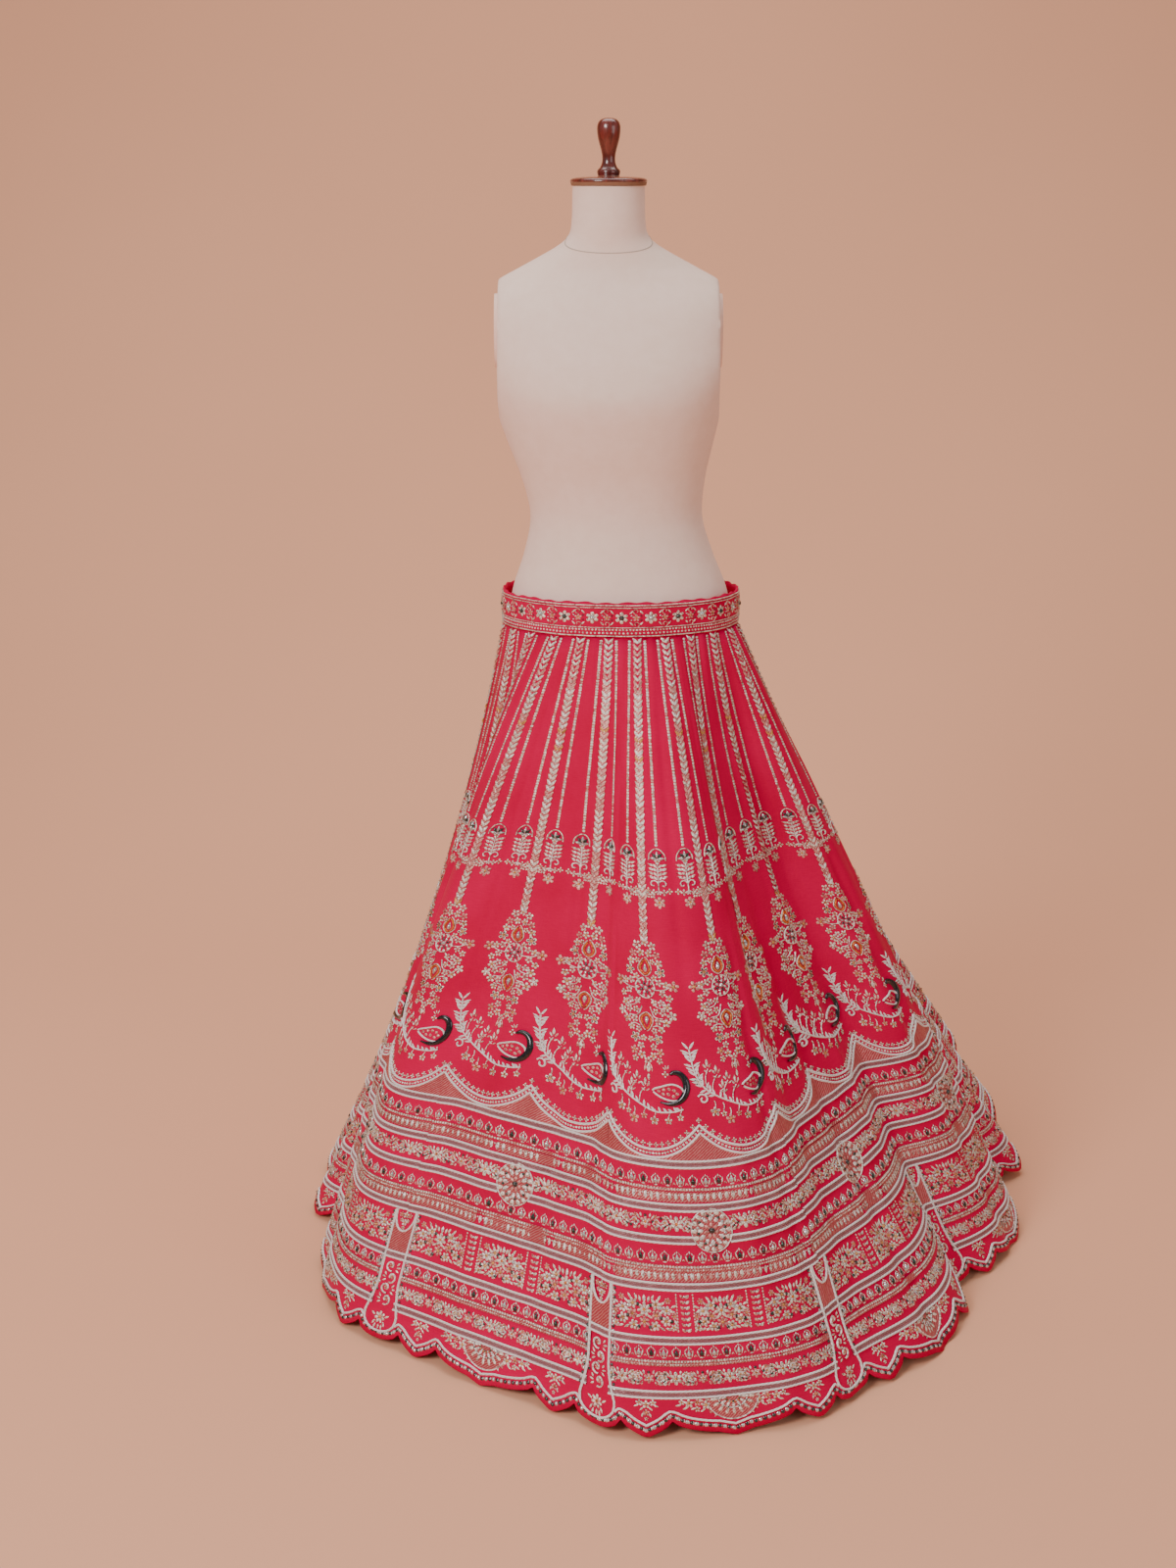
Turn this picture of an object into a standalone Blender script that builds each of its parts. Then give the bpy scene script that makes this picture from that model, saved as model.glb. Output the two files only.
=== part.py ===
"""Lehenga skirt worn on a limbless dress form.

The skirt is a waistband and twelve flared kalis (gores) with a scalloped hem. It hangs in flutes from the
hips of a dress form that stands on a pole and a round base. Units are metres, +Z is up, the front faces -Y,
and the origin is the centre of the base's underside.
"""

import math

import bmesh
import bpy
import numpy as np
from mathutils import Vector

# Waistband: an oval band round the hips of the form.
WAIST_TOP = 1.000
WAIST_BOTTOM = 0.950
WAIST_HALF_WIDTH = 0.167
WAIST_HALF_DEPTH = 0.128
WAIST_CENTRE_X = 0.018
BAND_WALL = 0.003
BAND_SEGMENTS = 48
OVAL_SAMPLES = 2880

# Skirt cloth.
KALI_COUNT = 12
CLOTH_WALL = 0.0025
SEAM_GAP = 0.0004
CLOTH_LENGTH = 1.078
HEM_Z = 0.005
FLOOR_EASE = 0.012
FIRST_SEAM_AT_WAIST = 0.9
KALI_HEM = 0.378

# One row for each fold valley, going round from the front towards +X: its plan position at the hem, how far
# it is tucked in and slid towards the next valley half way down, how many kalis it lies there beyond its seam,
# and then the flute after it: how it leans (over 1 is towards the next valley), how flat its top is (1 is a
# plain wave) and how much it doubles into two smaller ones.
FOLD_COLUMNS = ("hem_x", "hem_y", "tuck", "slide", "beyond_seam", "lean", "flat", "double")
FOLDS = (
    (-0.018, -0.572, 0.030, -0.012, -0.12, 1.00, 0.50, 0.00),
    (0.325, -0.498, 0.026, 0.000, 0.20, 1.40, 0.90, 0.05),
    (0.510, -0.195, 0.042, 0.000, -0.05, 1.05, 1.00, 0.08),
    (0.622, 0.136, 0.040, 0.000, 0.05, 0.95, 1.00, 0.30),
    (0.580, 0.440, 0.035, 0.000, -0.10, 0.90, 1.00, 0.50),
    (0.440, 0.580, 0.040, 0.000, 0.10, 1.10, 1.00, 0.55),
    (0.235, 0.630, 0.030, 0.000, 0.00, 0.95, 1.00, 0.45),
    (0.010, 0.612, 0.038, 0.000, -0.10, 1.10, 1.00, 0.50),
    (-0.215, 0.520, 0.035, 0.000, 0.10, 0.95, 1.00, 0.32),
    (-0.375, 0.300, 0.032, 0.000, 0.00, 1.05, 1.00, 0.25),
    (-0.395, -0.010, 0.040, 0.000, -0.08, 0.95, 0.90, 0.12),
    (-0.325, -0.350, 0.030, 0.000, 0.10, 0.85, 0.70, 0.05),
)
FLUTE_SAMPLES = 96
VALLEY_SOFTNESS = 5
HEIGHT_TRIALS = 40

# Scallops along the hem of one kali: a round tab at each seam, a point beside it and a wide ogee in the
# middle. Places and half widths are shares of the kali's width, and drops are in metres. SCALLOP_REACH keeps
# the cloth above the hem level: the higher it is, the nearer to the edge the scallops start.
TAB_HALF = 0.10
TAB_DROP = 0.012
POINT_PLACE = 0.19
POINT_DROP = 0.018
OGEE_HALF = 0.22
OGEE_DROP = 0.015
OGEE_TIP_DROP = 0.004
OGEE_TIP_HALF = 0.06
OGEE_ROUNDNESS = 0.6
HEM_DROP_MEAN = 0.015
SCALLOP_REACH = 8

# Where the mesh of a kali has its columns across half its width, and its rows from waist to hem.
HALF_COLUMNS = (0.0, 0.05, 0.10, 0.19, 0.28, 0.34, 0.42)
ROWS = (0.0, 0.06, 0.14, 0.24, 0.34, 0.44, 0.54, 0.64, 0.74, 0.84, 0.93, 1.0)

# Dress form, from the flat underside of the hips to the top of the neck. SHOULDER_LIMIT flattens the shoulder
# ends, and square is the exponent of the section: 2 is an ellipse, and more is boxier.
FORM_COLUMNS = ("z", "half_width", "half_depth", "shift_x", "shift_y", "square")
FORM_SECTIONS = (
    (0.770, 0.150, 0.098, 0.018, 0.004, 2.2),
    (0.780, 0.158, 0.106, 0.018, 0.004, 2.2),
    (0.830, 0.168, 0.117, 0.018, 0.004, 2.2),
    (0.890, 0.167, 0.121, 0.018, 0.002, 2.1),
    (0.945, 0.161, 0.121, 0.018, 0.000, 2.1),
    (1.000, 0.151, 0.114, 0.017, -0.001, 2.1),
    (1.050, 0.133, 0.100, 0.015, -0.001, 2.1),
    (1.100, 0.121, 0.092, 0.012, -0.001, 2.1),
    (1.150, 0.127, 0.097, 0.008, -0.004, 2.2),
    (1.210, 0.144, 0.113, 0.003, -0.012, 2.2),
    (1.265, 0.160, 0.124, 0.000, -0.017, 2.2),
    (1.305, 0.172, 0.120, 0.000, -0.012, 2.3),
    (1.345, 0.178, 0.110, 0.000, -0.004, 2.3),
    (1.380, 0.179, 0.099, 0.000, 0.004, 2.3),
    (1.405, 0.172, 0.088, 0.000, 0.010, 2.2),
    (1.424, 0.152, 0.077, 0.000, 0.014, 2.1),
    (1.440, 0.123, 0.068, 0.000, 0.014, 2.0),
    (1.455, 0.095, 0.060, 0.000, 0.011, 2.0),
    (1.468, 0.072, 0.054, 0.000, 0.007, 2.0),
    (1.480, 0.057, 0.0505, 0.000, 0.003, 2.0),
    (1.495, 0.0510, 0.0490, 0.000, 0.000, 2.0),
    (1.548, 0.0490, 0.0485, 0.000, 0.000, 2.0),
)
RINGS_PER_SECTION = 2
FORM_SEGMENTS = 48
SHOULDER_LIMIT = 0.151
SHOULDER_LIMIT_FROM = 1.20
ARM_PLATE_CENTRE = (0.004, 1.356)
ARM_PLATE_HALF_DEPTH = 0.038
ARM_PLATE_HALF_HEIGHT = 0.050
ARM_PLATE_THICKNESS = 0.005

# Neck cap and turned handle, as profiles of (radius, height) from the top down.
NECK_TOP = 1.548
CAP_PROFILE = ((0.0, 0.0125), (0.030, 0.0120), (0.047, 0.0095), (0.0515, 0.0070), (0.0525, 0.0045),
               (0.0510, 0.0015), (0.0480, 0.0), (0.0, 0.0))
CAP_HEIGHT = 0.0125
HANDLE_PROFILE = ((0.0, 0.0760), (0.0080, 0.0752), (0.0130, 0.0720), (0.0155, 0.0660), (0.0158, 0.0590),
                  (0.0148, 0.0500), (0.0125, 0.0410), (0.0100, 0.0320), (0.0090, 0.0240), (0.0094, 0.0170),
                  (0.0120, 0.0110), (0.0150, 0.0075), (0.0156, 0.0045), (0.0148, 0.0), (0.0, 0.0))

# Stand, all of it under the skirt.
POLE_RADIUS = 0.014
POLE_X = 0.0
BASE_RADIUS = 0.190
BASE_THICKNESS = 0.016
BASE_BEVEL = 0.005
HUB_RADIUS = 0.032
HUB_TOP = 0.070
HUB_BEVEL = 0.004
HUB_FILLET = 0.006
PLATE_RADIUS = 0.055
PLATE_THICKNESS = 0.010
TOUCH_GAP = 0.0003
ROUND_STEPS = 40


def wipe_scene():
    for old in list(bpy.data.objects):
        bpy.data.objects.remove(old)


def make_material(name, colour, roughness, metallic=0.0):
    material = bpy.data.materials.new(name)
    material.use_nodes = True
    shader = material.node_tree.nodes["Principled BSDF"]
    shader.inputs["Base Color"].default_value = (*colour, 1.0)
    shader.inputs["Roughness"].default_value = roughness
    shader.inputs["Metallic"].default_value = metallic
    return material


def add_object(name, mesh, material, collection, smooth_angle=math.radians(40)):
    part = bpy.data.objects.new(name, mesh)
    mesh.materials.append(material)
    mesh.shade_smooth()
    mesh.set_sharp_from_angle(angle=smooth_angle)
    collection.objects.link(part)
    return part


def waist_seams():
    """Plan positions evenly spaced along the waist's oval: KALI_COUNT kalis of FLUTE_SAMPLES steps each."""
    turns = np.radians(FIRST_SEAM_AT_WAIST + np.linspace(0, 360, OVAL_SAMPLES + 1))
    oval_x, oval_y = np.sin(turns), -np.cos(turns)
    stretch = 1 / np.hypot(oval_x / WAIST_HALF_WIDTH, oval_y / WAIST_HALF_DEPTH)
    points = np.stack((WAIST_CENTRE_X + oval_x * stretch, oval_y * stretch), axis=1)
    steps = np.concatenate(([0.0], np.cumsum(np.linalg.norm(np.diff(points, axis=0), axis=1))))
    places = np.linspace(0, steps[-1], KALI_COUNT * FLUTE_SAMPLES + 1)
    even = np.stack((np.interp(places, steps, points[:, 0]), np.interp(places, steps, points[:, 1])), axis=1)
    return even, steps[-1]


def flute(start, end, arc, lean, flat, double):
    """A plan curve from valley to valley: an arch just high enough to be arc long."""
    shares = np.linspace(0, 1, 4 * FLUTE_SAMPLES + 1)
    leaning = shares**lean
    wave = np.clip(np.sin(math.pi * leaning), 0, 1)
    shape = wave**flat + double * np.sin(3 * math.pi * leaning)
    chord = end - start
    outward = np.array((chord[1], -chord[0])) / np.linalg.norm(chord)
    low, high = 0.0, arc
    for _ in range(HEIGHT_TRIALS):
        height = (low + high) / 2
        points = start + shares[:, None] * chord + (height * shape)[:, None] * outward
        length = np.linalg.norm(np.diff(points, axis=0), axis=1).sum()
        low, high = (height, high) if length < arc else (low, height)
    return points


def ring_of_flutes(valleys, kali_width, beyond_seam):
    """The plan curve through all the valleys, in FLUTE_SAMPLES even steps to a kali, seams at whole kalis."""
    pieces, places = [], []
    for i, row in enumerate(FOLDS):
        named = dict(zip(FOLD_COLUMNS, row))
        after = (i + 1) % KALI_COUNT
        width = 1 + beyond_seam[after] - beyond_seam[i]
        arch = (named["lean"], named["flat"], named["double"])
        bent = flute(valleys[i], valleys[after], kali_width * width, *arch)
        steps = np.linalg.norm(np.diff(bent, axis=0), axis=1)
        pieces.append(bent[:-1])
        shares = np.concatenate(([0.0], np.cumsum(steps)[:-1])) / steps.sum()
        places.append(i + beyond_seam[i] + shares * width)
    points, at = np.concatenate(pieces), np.concatenate(places)
    points = np.concatenate((points, points, points))
    at = np.concatenate((at - KALI_COUNT, at, at + KALI_COUNT))
    even = np.arange(-VALLEY_SOFTNESS, KALI_COUNT * FLUTE_SAMPLES + VALLEY_SOFTNESS + 1) / FLUTE_SAMPLES
    weights = np.hanning(2 * VALLEY_SOFTNESS + 3)[1:-1]
    weights /= weights.sum()
    smooth = [np.convolve(np.interp(even, at, points[:, axis]), weights, mode="valid") for axis in (0, 1)]
    return np.stack(smooth, axis=1)


def guide_curves():
    """Plan curves of the cloth at the waist, half way down and at the hem, and the hem's height all round."""
    waist, girth = waist_seams()
    folds = {name: np.array(values) for name, values in zip(FOLD_COLUMNS, zip(*FOLDS))}
    hem_valleys = np.stack((folds["hem_x"], folds["hem_y"]), axis=1)
    middle = (waist[:-1:FLUTE_SAMPLES] + hem_valleys) / 2
    inward = middle.mean(axis=0) - middle
    inward /= np.linalg.norm(inward, axis=1)[:, None]
    onward = np.stack((inward[:, 1], -inward[:, 0]), axis=1)
    middle += inward * folds["tuck"][:, None] + onward * folds["slide"][:, None]
    half_way = ring_of_flutes(middle, (girth / KALI_COUNT + KALI_HEM) / 2, folds["beyond_seam"])
    hem = ring_of_flutes(hem_valleys, KALI_HEM, np.zeros(KALI_COUNT))
    reach = np.linalg.norm(hem - waist, axis=1)
    above = WAIST_BOTTOM - np.sqrt(CLOTH_LENGTH**2 - reach**2) - HEM_Z
    hem_z = HEM_Z + (above + np.sqrt(above**2 + FLOOR_EASE**2)) / 2
    return waist, half_way, hem, hem_z, girth


WAIST_CURVE, MIDDLE_CURVE, HEM_CURVE, HEM_HEIGHTS, WAIST_GIRTH = guide_curves()


def along_curve(turn, values):
    """values of a guide curve at a place counted in kalis, so that seams are at whole numbers."""
    return np.interp((turn % KALI_COUNT) * FLUTE_SAMPLES, np.arange(len(values)), values)


def cloth_at(turn, down):
    """The cloth's outer face: turn in kalis round the skirt, down from 0 at the waistband to 1 at the hem."""
    plan = [
        along_curve(turn, WAIST_CURVE[:, axis]) * (1 - down) * (1 - 2 * down)
        + along_curve(turn, MIDDLE_CURVE[:, axis]) * 4 * down * (1 - down)
        + along_curve(turn, HEM_CURVE[:, axis]) * down * (2 * down - 1)
        for axis in (0, 1)
    ]
    z = WAIST_BOTTOM + (along_curve(turn, HEM_HEIGHTS) - WAIST_BOTTOM) * down
    return np.array((*plan, z))


def cloth_normal(turn, down, step=0.012):
    """Unit vector out of the cloth's outer face."""
    across = cloth_at(turn + step, down) - cloth_at(turn - step, down)
    along = cloth_at(turn, down + step) - cloth_at(turn, down - step)
    normal = np.cross(along, across)
    return normal / np.linalg.norm(normal)


def hem_drop(share):
    """How far the scalloped hem hangs below its notches, in metres, at a share of the kali's width."""
    side = min(share, 1 - share)
    if side < TAB_HALF:
        return TAB_DROP * math.sqrt(1 - (side / TAB_HALF) ** 2)
    point_half = POINT_PLACE - TAB_HALF
    if side < POINT_PLACE + point_half:
        return POINT_DROP * (1 - abs(side - POINT_PLACE) / point_half)
    from_middle = 0.5 - side
    belly = math.cos(math.pi / 2 * min(from_middle / OGEE_HALF, 1.0)) ** OGEE_ROUNDNESS
    return OGEE_DROP * belly + OGEE_TIP_DROP * max(0.0, 1 - from_middle / OGEE_TIP_HALF)


def make_kali(number, material, collection):
    """One gore: a grid laid on the cloth's outer face and extruded inwards by the wall."""
    columns = [*HALF_COLUMNS, 0.5, *(1 - c for c in reversed(HALF_COLUMNS))]
    mesh = bmesh.new()
    place = mesh.verts.layers.float_vector.new("place")
    wide, tall = len(columns) - 1, len(ROWS) - 1
    bmesh.ops.create_grid(mesh, x_segments=wide, y_segments=tall, size=1.0)
    for vert in mesh.verts:
        column = columns[round((vert.co.x + 1) / 2 * wide)]
        row = ROWS[round((1 - vert.co.y) / 2 * tall)]
        width = WAIST_GIRTH / KALI_COUNT * (1 - row) + KALI_HEM * row
        gap = SEAM_GAP / 2 / width
        turn = number + gap + column * (1 - 2 * gap)
        down = row + (hem_drop(column) - HEM_DROP_MEAN) / CLOTH_LENGTH * row**SCALLOP_REACH
        vert[place] = (number + column, down, 0.0)
        vert.co = cloth_at(turn, down)
    made = bmesh.ops.extrude_face_region(mesh, geom=list(mesh.faces), use_keep_orig=True)
    for vert in made["geom"]:
        if isinstance(vert, bmesh.types.BMVert):
            turn, down, _ = vert[place]
            vert.co -= Vector(cloth_normal(turn, down) * CLOTH_WALL)
    bmesh.ops.recalc_face_normals(mesh, faces=mesh.faces)
    # Split along the shorter diagonal, so that the walls on the two sides of a seam match.
    bmesh.ops.triangulate(mesh, faces=mesh.faces, quad_method="SHORT_EDGE")
    # Faces in the order of their corners, so that each run gives the same mesh.
    mesh.verts.index_update()
    count = len(mesh.verts)
    corners = {face: sorted(vert.index for vert in face.verts) for face in mesh.faces}
    mesh.faces.sort(key=lambda face: sum(index * count**i for i, index in enumerate(corners[face])))
    data = bpy.data.meshes.new(f"kali_{number + 1:02d}")
    mesh.to_mesh(data)
    mesh.free()
    return add_object(data.name, data, material, collection)


def oval(half_width, half_depth, centre_x, centre_y, z, segments, square=2.0, side_limit=None):
    """Points of a closed oval section, and its sides cut flat at side_limit."""
    points = []
    for i in range(segments):
        turn = 2 * math.pi * i / segments
        across, forward = math.sin(turn), -math.cos(turn)
        x = half_width * math.copysign(abs(across) ** (2 / square), across)
        y = half_depth * math.copysign(abs(forward) ** (2 / square), forward)
        if side_limit is not None:
            x = min(max(x, -side_limit), side_limit)
        points.append((centre_x + x, centre_y + y, z))
    return points


def loft(mesh, rings, closed):
    """Skins the rings in turn, and back to the first where closed. Otherwise it caps the two end rings."""
    made = [[mesh.verts.new(point) for point in ring] for ring in rings]
    pairs = list(zip(made, made[1:])) + ([(made[-1], made[0])] if closed else [])
    for lower, upper in pairs:
        for i in range(len(lower)):
            j = (i + 1) % len(lower)
            mesh.faces.new((lower[i], lower[j], upper[j], upper[i]))
    if not closed:
        mesh.faces.new(made[0])
        mesh.faces.new(made[-1])
    bmesh.ops.recalc_face_normals(mesh, faces=mesh.faces)


def make_waistband(material, collection):
    """A closed ring of oval sections: outer face, top, inner face and bottom."""
    low, high = WAIST_BOTTOM + SEAM_GAP, WAIST_TOP
    corners = ((0.0, low), (0.0, high), (BAND_WALL, high), (BAND_WALL, low))
    rings = [
        oval(WAIST_HALF_WIDTH - inset, WAIST_HALF_DEPTH - inset, WAIST_CENTRE_X, 0.0, z, BAND_SEGMENTS)
        for inset, z in corners
    ]
    mesh = bmesh.new()
    loft(mesh, rings, closed=True)
    data = bpy.data.meshes.new("waistband")
    mesh.to_mesh(data)
    mesh.free()
    return add_object("waistband", data, material, collection)


def smooth_rows(rows, parts):
    """The table's rows with more between them, parts to each gap, on a curve through them (Catmull-Rom)."""
    table = np.array(rows)
    places = np.arange((len(rows) - 1) * parts + 1) / parts
    heights = np.interp(places, np.arange(len(rows)), table[:, 0])
    made = []
    for z in heights:
        i = min(max(int(np.searchsorted(table[:, 0], z, side="right")) - 1, 0), len(table) - 2)
        share = (z - table[i, 0]) / (table[i + 1, 0] - table[i, 0])
        before, after = table[max(i - 1, 0)], table[min(i + 2, len(table) - 1)]
        span = table[i + 1, 0] - table[i, 0]
        start = (table[i + 1] - before) / (table[i + 1, 0] - before[0]) * span
        end = (after - table[i]) / (after[0] - table[i, 0]) * span
        a, b = 2 * share**3 - 3 * share**2, share**3 - 2 * share**2 + share
        c = share**3 - share**2
        row = (a + 1) * table[i] + b * start - a * table[i + 1] + c * end
        row[0] = z
        made.append(dict(zip(FORM_COLUMNS, row)))
    return made


def make_form(material, collection):
    """The torso and neck, lofted through smooth sections, flat under the hips and at the shoulder ends."""
    rings = []
    for row in smooth_rows(FORM_SECTIONS, RINGS_PER_SECTION):
        limit = SHOULDER_LIMIT if row["z"] > SHOULDER_LIMIT_FROM else None
        rings.append(oval(row["half_width"], row["half_depth"], row["shift_x"], row["shift_y"], row["z"],
                          FORM_SEGMENTS, row["square"], limit))
    mesh = bmesh.new()
    loft(mesh, rings, closed=False)
    data = bpy.data.meshes.new("form_torso")
    mesh.to_mesh(data)
    mesh.free()
    return add_object("form_torso", data, material, collection)


def make_arm_plate(name, side, material, collection):
    """A flat oval plate that closes a shoulder end, just clear of it."""
    mesh = bmesh.new()
    bmesh.ops.create_cone(mesh, cap_ends=True, segments=ROUND_STEPS, radius1=1.0, radius2=1.0, depth=1.0)
    data = bpy.data.meshes.new(name)
    y, z = ARM_PLATE_CENTRE
    x = side * (SHOULDER_LIMIT + TOUCH_GAP + ARM_PLATE_THICKNESS / 2)
    for vert in mesh.verts:
        vert.co = (x + vert.co.z * ARM_PLATE_THICKNESS, y + vert.co.x * ARM_PLATE_HALF_DEPTH,
                   z + vert.co.y * ARM_PLATE_HALF_HEIGHT)
    bmesh.ops.recalc_face_normals(mesh, faces=mesh.faces)
    mesh.to_mesh(data)
    mesh.free()
    return add_object(name, data, material, collection)


def make_turned(name, profile, location, material, collection):
    """A piece turned round the vertical from a profile of (radius, height), given from the top down."""
    data = bpy.data.meshes.new(name)
    points = [(radius, 0.0, height) for radius, height in profile]
    data.from_pydata(points, [(i, i + 1) for i in range(len(points) - 1)], [])
    part = bpy.data.objects.new(name, data)
    data.materials.append(material)
    part.location = location
    screw = part.modifiers.new("turn", "SCREW")
    screw.steps = screw.render_steps = ROUND_STEPS
    screw.use_merge_vertices = True
    screw.merge_threshold = 0.00005
    screw.use_smooth_shade = True
    collection.objects.link(part)
    return part


def make_stand(metal, wood, collection):
    hub = ((0.0, HUB_TOP), (HUB_RADIUS - HUB_BEVEL, HUB_TOP), (HUB_RADIUS, HUB_TOP - HUB_BEVEL),
           (HUB_RADIUS, BASE_THICKNESS + HUB_BEVEL), (HUB_RADIUS + HUB_FILLET, BASE_THICKNESS))
    rim = ((BASE_RADIUS - BASE_BEVEL, BASE_THICKNESS), (BASE_RADIUS, BASE_THICKNESS - BASE_BEVEL),
           (BASE_RADIUS, 0.0), (0.0, 0.0))
    make_turned("stand_base", hub + rim, (POLE_X, 0.0, 0.0), metal, collection)
    plate_top = FORM_SECTIONS[0][0] - TOUCH_GAP
    plate_low = plate_top - PLATE_THICKNESS
    plate = ((0.0, PLATE_THICKNESS), (PLATE_RADIUS, PLATE_THICKNESS), (PLATE_RADIUS, 0.0), (0.0, 0.0))
    make_turned("form_plate", plate, (POLE_X, 0.0, plate_low), wood, collection)
    low, high = HUB_TOP + TOUCH_GAP, plate_low - TOUCH_GAP
    bpy.ops.mesh.primitive_cylinder_add(vertices=ROUND_STEPS, radius=POLE_RADIUS, depth=high - low,
                                        location=(POLE_X, 0.0, (low + high) / 2))
    pole = bpy.context.object
    pole.name = "stand_pole"
    pole.data.materials.append(metal)
    pole.data.shade_smooth()
    pole.data.set_sharp_from_angle(angle=math.radians(40))
    for holder in list(pole.users_collection):
        holder.objects.unlink(pole)
    collection.objects.link(pole)


def main():
    wipe_scene()
    collection = bpy.data.collections.new("lehenga_skirt")
    bpy.context.scene.collection.children.link(collection)
    silk = make_material("raspberry_silk", (0.72, 0.005, 0.055), 0.42)
    band = make_material("waistband_cloth", (0.66, 0.01, 0.06), 0.5)
    jersey = make_material("form_jersey", (0.72, 0.60, 0.52), 0.8)
    wood = make_material("polished_wood", (0.13, 0.025, 0.015), 0.22)
    metal = make_material("stand_metal", (0.55, 0.55, 0.56), 0.35, 1.0)
    for number in range(KALI_COUNT):
        make_kali(number, silk, collection)
    make_waistband(band, collection)
    make_form(jersey, collection)
    make_arm_plate("arm_plate_left", -1, jersey, collection)
    make_arm_plate("arm_plate_right", 1, jersey, collection)
    cap_z = NECK_TOP + TOUCH_GAP
    make_turned("neck_cap", CAP_PROFILE, (0.0, 0.0, cap_z), wood, collection)
    make_turned("neck_handle", HANDLE_PROFILE, (0.0, 0.0, cap_z + CAP_HEIGHT + TOUCH_GAP), wood, collection)
    make_stand(metal, wood, collection)


main()
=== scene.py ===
import math

import bpy
import numpy as np
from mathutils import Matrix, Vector


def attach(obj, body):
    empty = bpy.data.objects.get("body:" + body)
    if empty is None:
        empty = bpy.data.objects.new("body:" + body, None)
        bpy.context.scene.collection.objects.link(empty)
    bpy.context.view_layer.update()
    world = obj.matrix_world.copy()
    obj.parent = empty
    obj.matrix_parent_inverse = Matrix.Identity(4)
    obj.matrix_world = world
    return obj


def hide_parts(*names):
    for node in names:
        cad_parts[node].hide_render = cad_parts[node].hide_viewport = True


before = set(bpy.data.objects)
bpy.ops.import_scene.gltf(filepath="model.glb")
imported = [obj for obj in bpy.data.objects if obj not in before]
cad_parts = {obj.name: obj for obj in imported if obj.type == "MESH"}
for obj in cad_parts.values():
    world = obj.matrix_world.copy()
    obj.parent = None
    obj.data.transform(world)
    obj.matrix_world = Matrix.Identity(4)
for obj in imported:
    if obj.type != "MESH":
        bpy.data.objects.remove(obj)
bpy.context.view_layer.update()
print("frame loaded")


waistTop, waistBottom = 1.000, 0.950
waistHalfWidth, waistHalfDepth, waistCentreX = 0.167, 0.128, 0.018
kaliCount, flatLength, hemWidth, hemZ, floorEase = 12, 1.078, 0.378, 0.005, 0.012
firstSeam, samples, softness, floorGap = 0.9, 96, 5, 0.001
foldColumns = ("hemX", "hemY", "tuck", "slide", "beyond", "lean", "flat", "double")
folds = (
    (-0.018, -0.572, 0.030, -0.012, -0.12, 1.00, 0.50, 0.00),
    (0.325, -0.498, 0.026, 0.000, 0.20, 1.40, 0.90, 0.05),
    (0.510, -0.195, 0.042, 0.000, -0.05, 1.05, 1.00, 0.08),
    (0.622, 0.136, 0.040, 0.000, 0.05, 0.95, 1.00, 0.30),
    (0.580, 0.440, 0.035, 0.000, -0.10, 0.90, 1.00, 0.50),
    (0.440, 0.580, 0.040, 0.000, 0.10, 1.10, 1.00, 0.55),
    (0.235, 0.630, 0.030, 0.000, 0.00, 0.95, 1.00, 0.45),
    (0.010, 0.612, 0.038, 0.000, -0.10, 1.10, 1.00, 0.50),
    (-0.215, 0.520, 0.035, 0.000, 0.10, 0.95, 1.00, 0.32),
    (-0.375, 0.300, 0.032, 0.000, 0.00, 1.05, 1.00, 0.25),
    (-0.395, -0.010, 0.040, 0.000, -0.08, 0.95, 0.90, 0.12),
    (-0.325, -0.350, 0.030, 0.000, 0.10, 0.85, 0.70, 0.05),
)
fold = {name: np.array(values) for name, values in zip(foldColumns, zip(*folds))}


def lengthsAlong(points):
    return np.concatenate(([0.0], np.cumsum(np.linalg.norm(np.diff(points, axis=0), axis=1))))


def waistOval():
    turns = np.radians(firstSeam + np.linspace(0, 360, 2881))
    x, y = np.sin(turns), -np.cos(turns)
    stretch = 1 / np.hypot(x / waistHalfWidth, y / waistHalfDepth)
    points = np.stack((waistCentreX + x * stretch, y * stretch), axis=1)
    along = lengthsAlong(points)
    places = np.linspace(0, along[-1], kaliCount * samples + 1)
    return np.stack([np.interp(places, along, points[:, a]) for a in (0, 1)], axis=1), along[-1]


def flute(start, end, arc, lean, flat, double):
    shares = np.linspace(0, 1, 4 * samples + 1)
    wave = np.clip(np.sin(math.pi * shares**lean), 0, 1)
    shape = wave**flat + double * np.sin(3 * math.pi * shares**lean)
    chord = end - start
    outward = np.array((chord[1], -chord[0])) / np.linalg.norm(chord)
    low, high = 0.0, arc
    for _ in range(40):
        height = (low + high) / 2
        points = start + shares[:, None] * chord + (height * shape)[:, None] * outward
        low, high = (height, high) if lengthsAlong(points)[-1] < arc else (low, height)
    return points


def ringOfFlutes(valleys, kaliWidth, beyond):
    pieces, places = [], []
    for i in range(kaliCount):
        after = (i + 1) % kaliCount
        width = 1 + beyond[after] - beyond[i]
        bend = (fold[name][i] for name in ("lean", "flat", "double"))
        bent = flute(valleys[i], valleys[after], kaliWidth * width, *bend)
        along = lengthsAlong(bent)
        pieces.append(bent[:-1])
        places.append(i + beyond[i] + along[:-1] / along[-1] * width)
    points, at = np.concatenate(pieces), np.concatenate(places)
    points = np.concatenate((points, points, points))
    at = np.concatenate((at - kaliCount, at, at + kaliCount))
    even = np.arange(-softness, kaliCount * samples + softness + 1) / samples
    weights = np.hanning(2 * softness + 3)[1:-1]
    weights /= weights.sum()
    rows = (np.interp(even, at, points[:, a]) for a in (0, 1))
    return np.stack([np.convolve(row, weights, mode="valid") for row in rows], axis=1)


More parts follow.
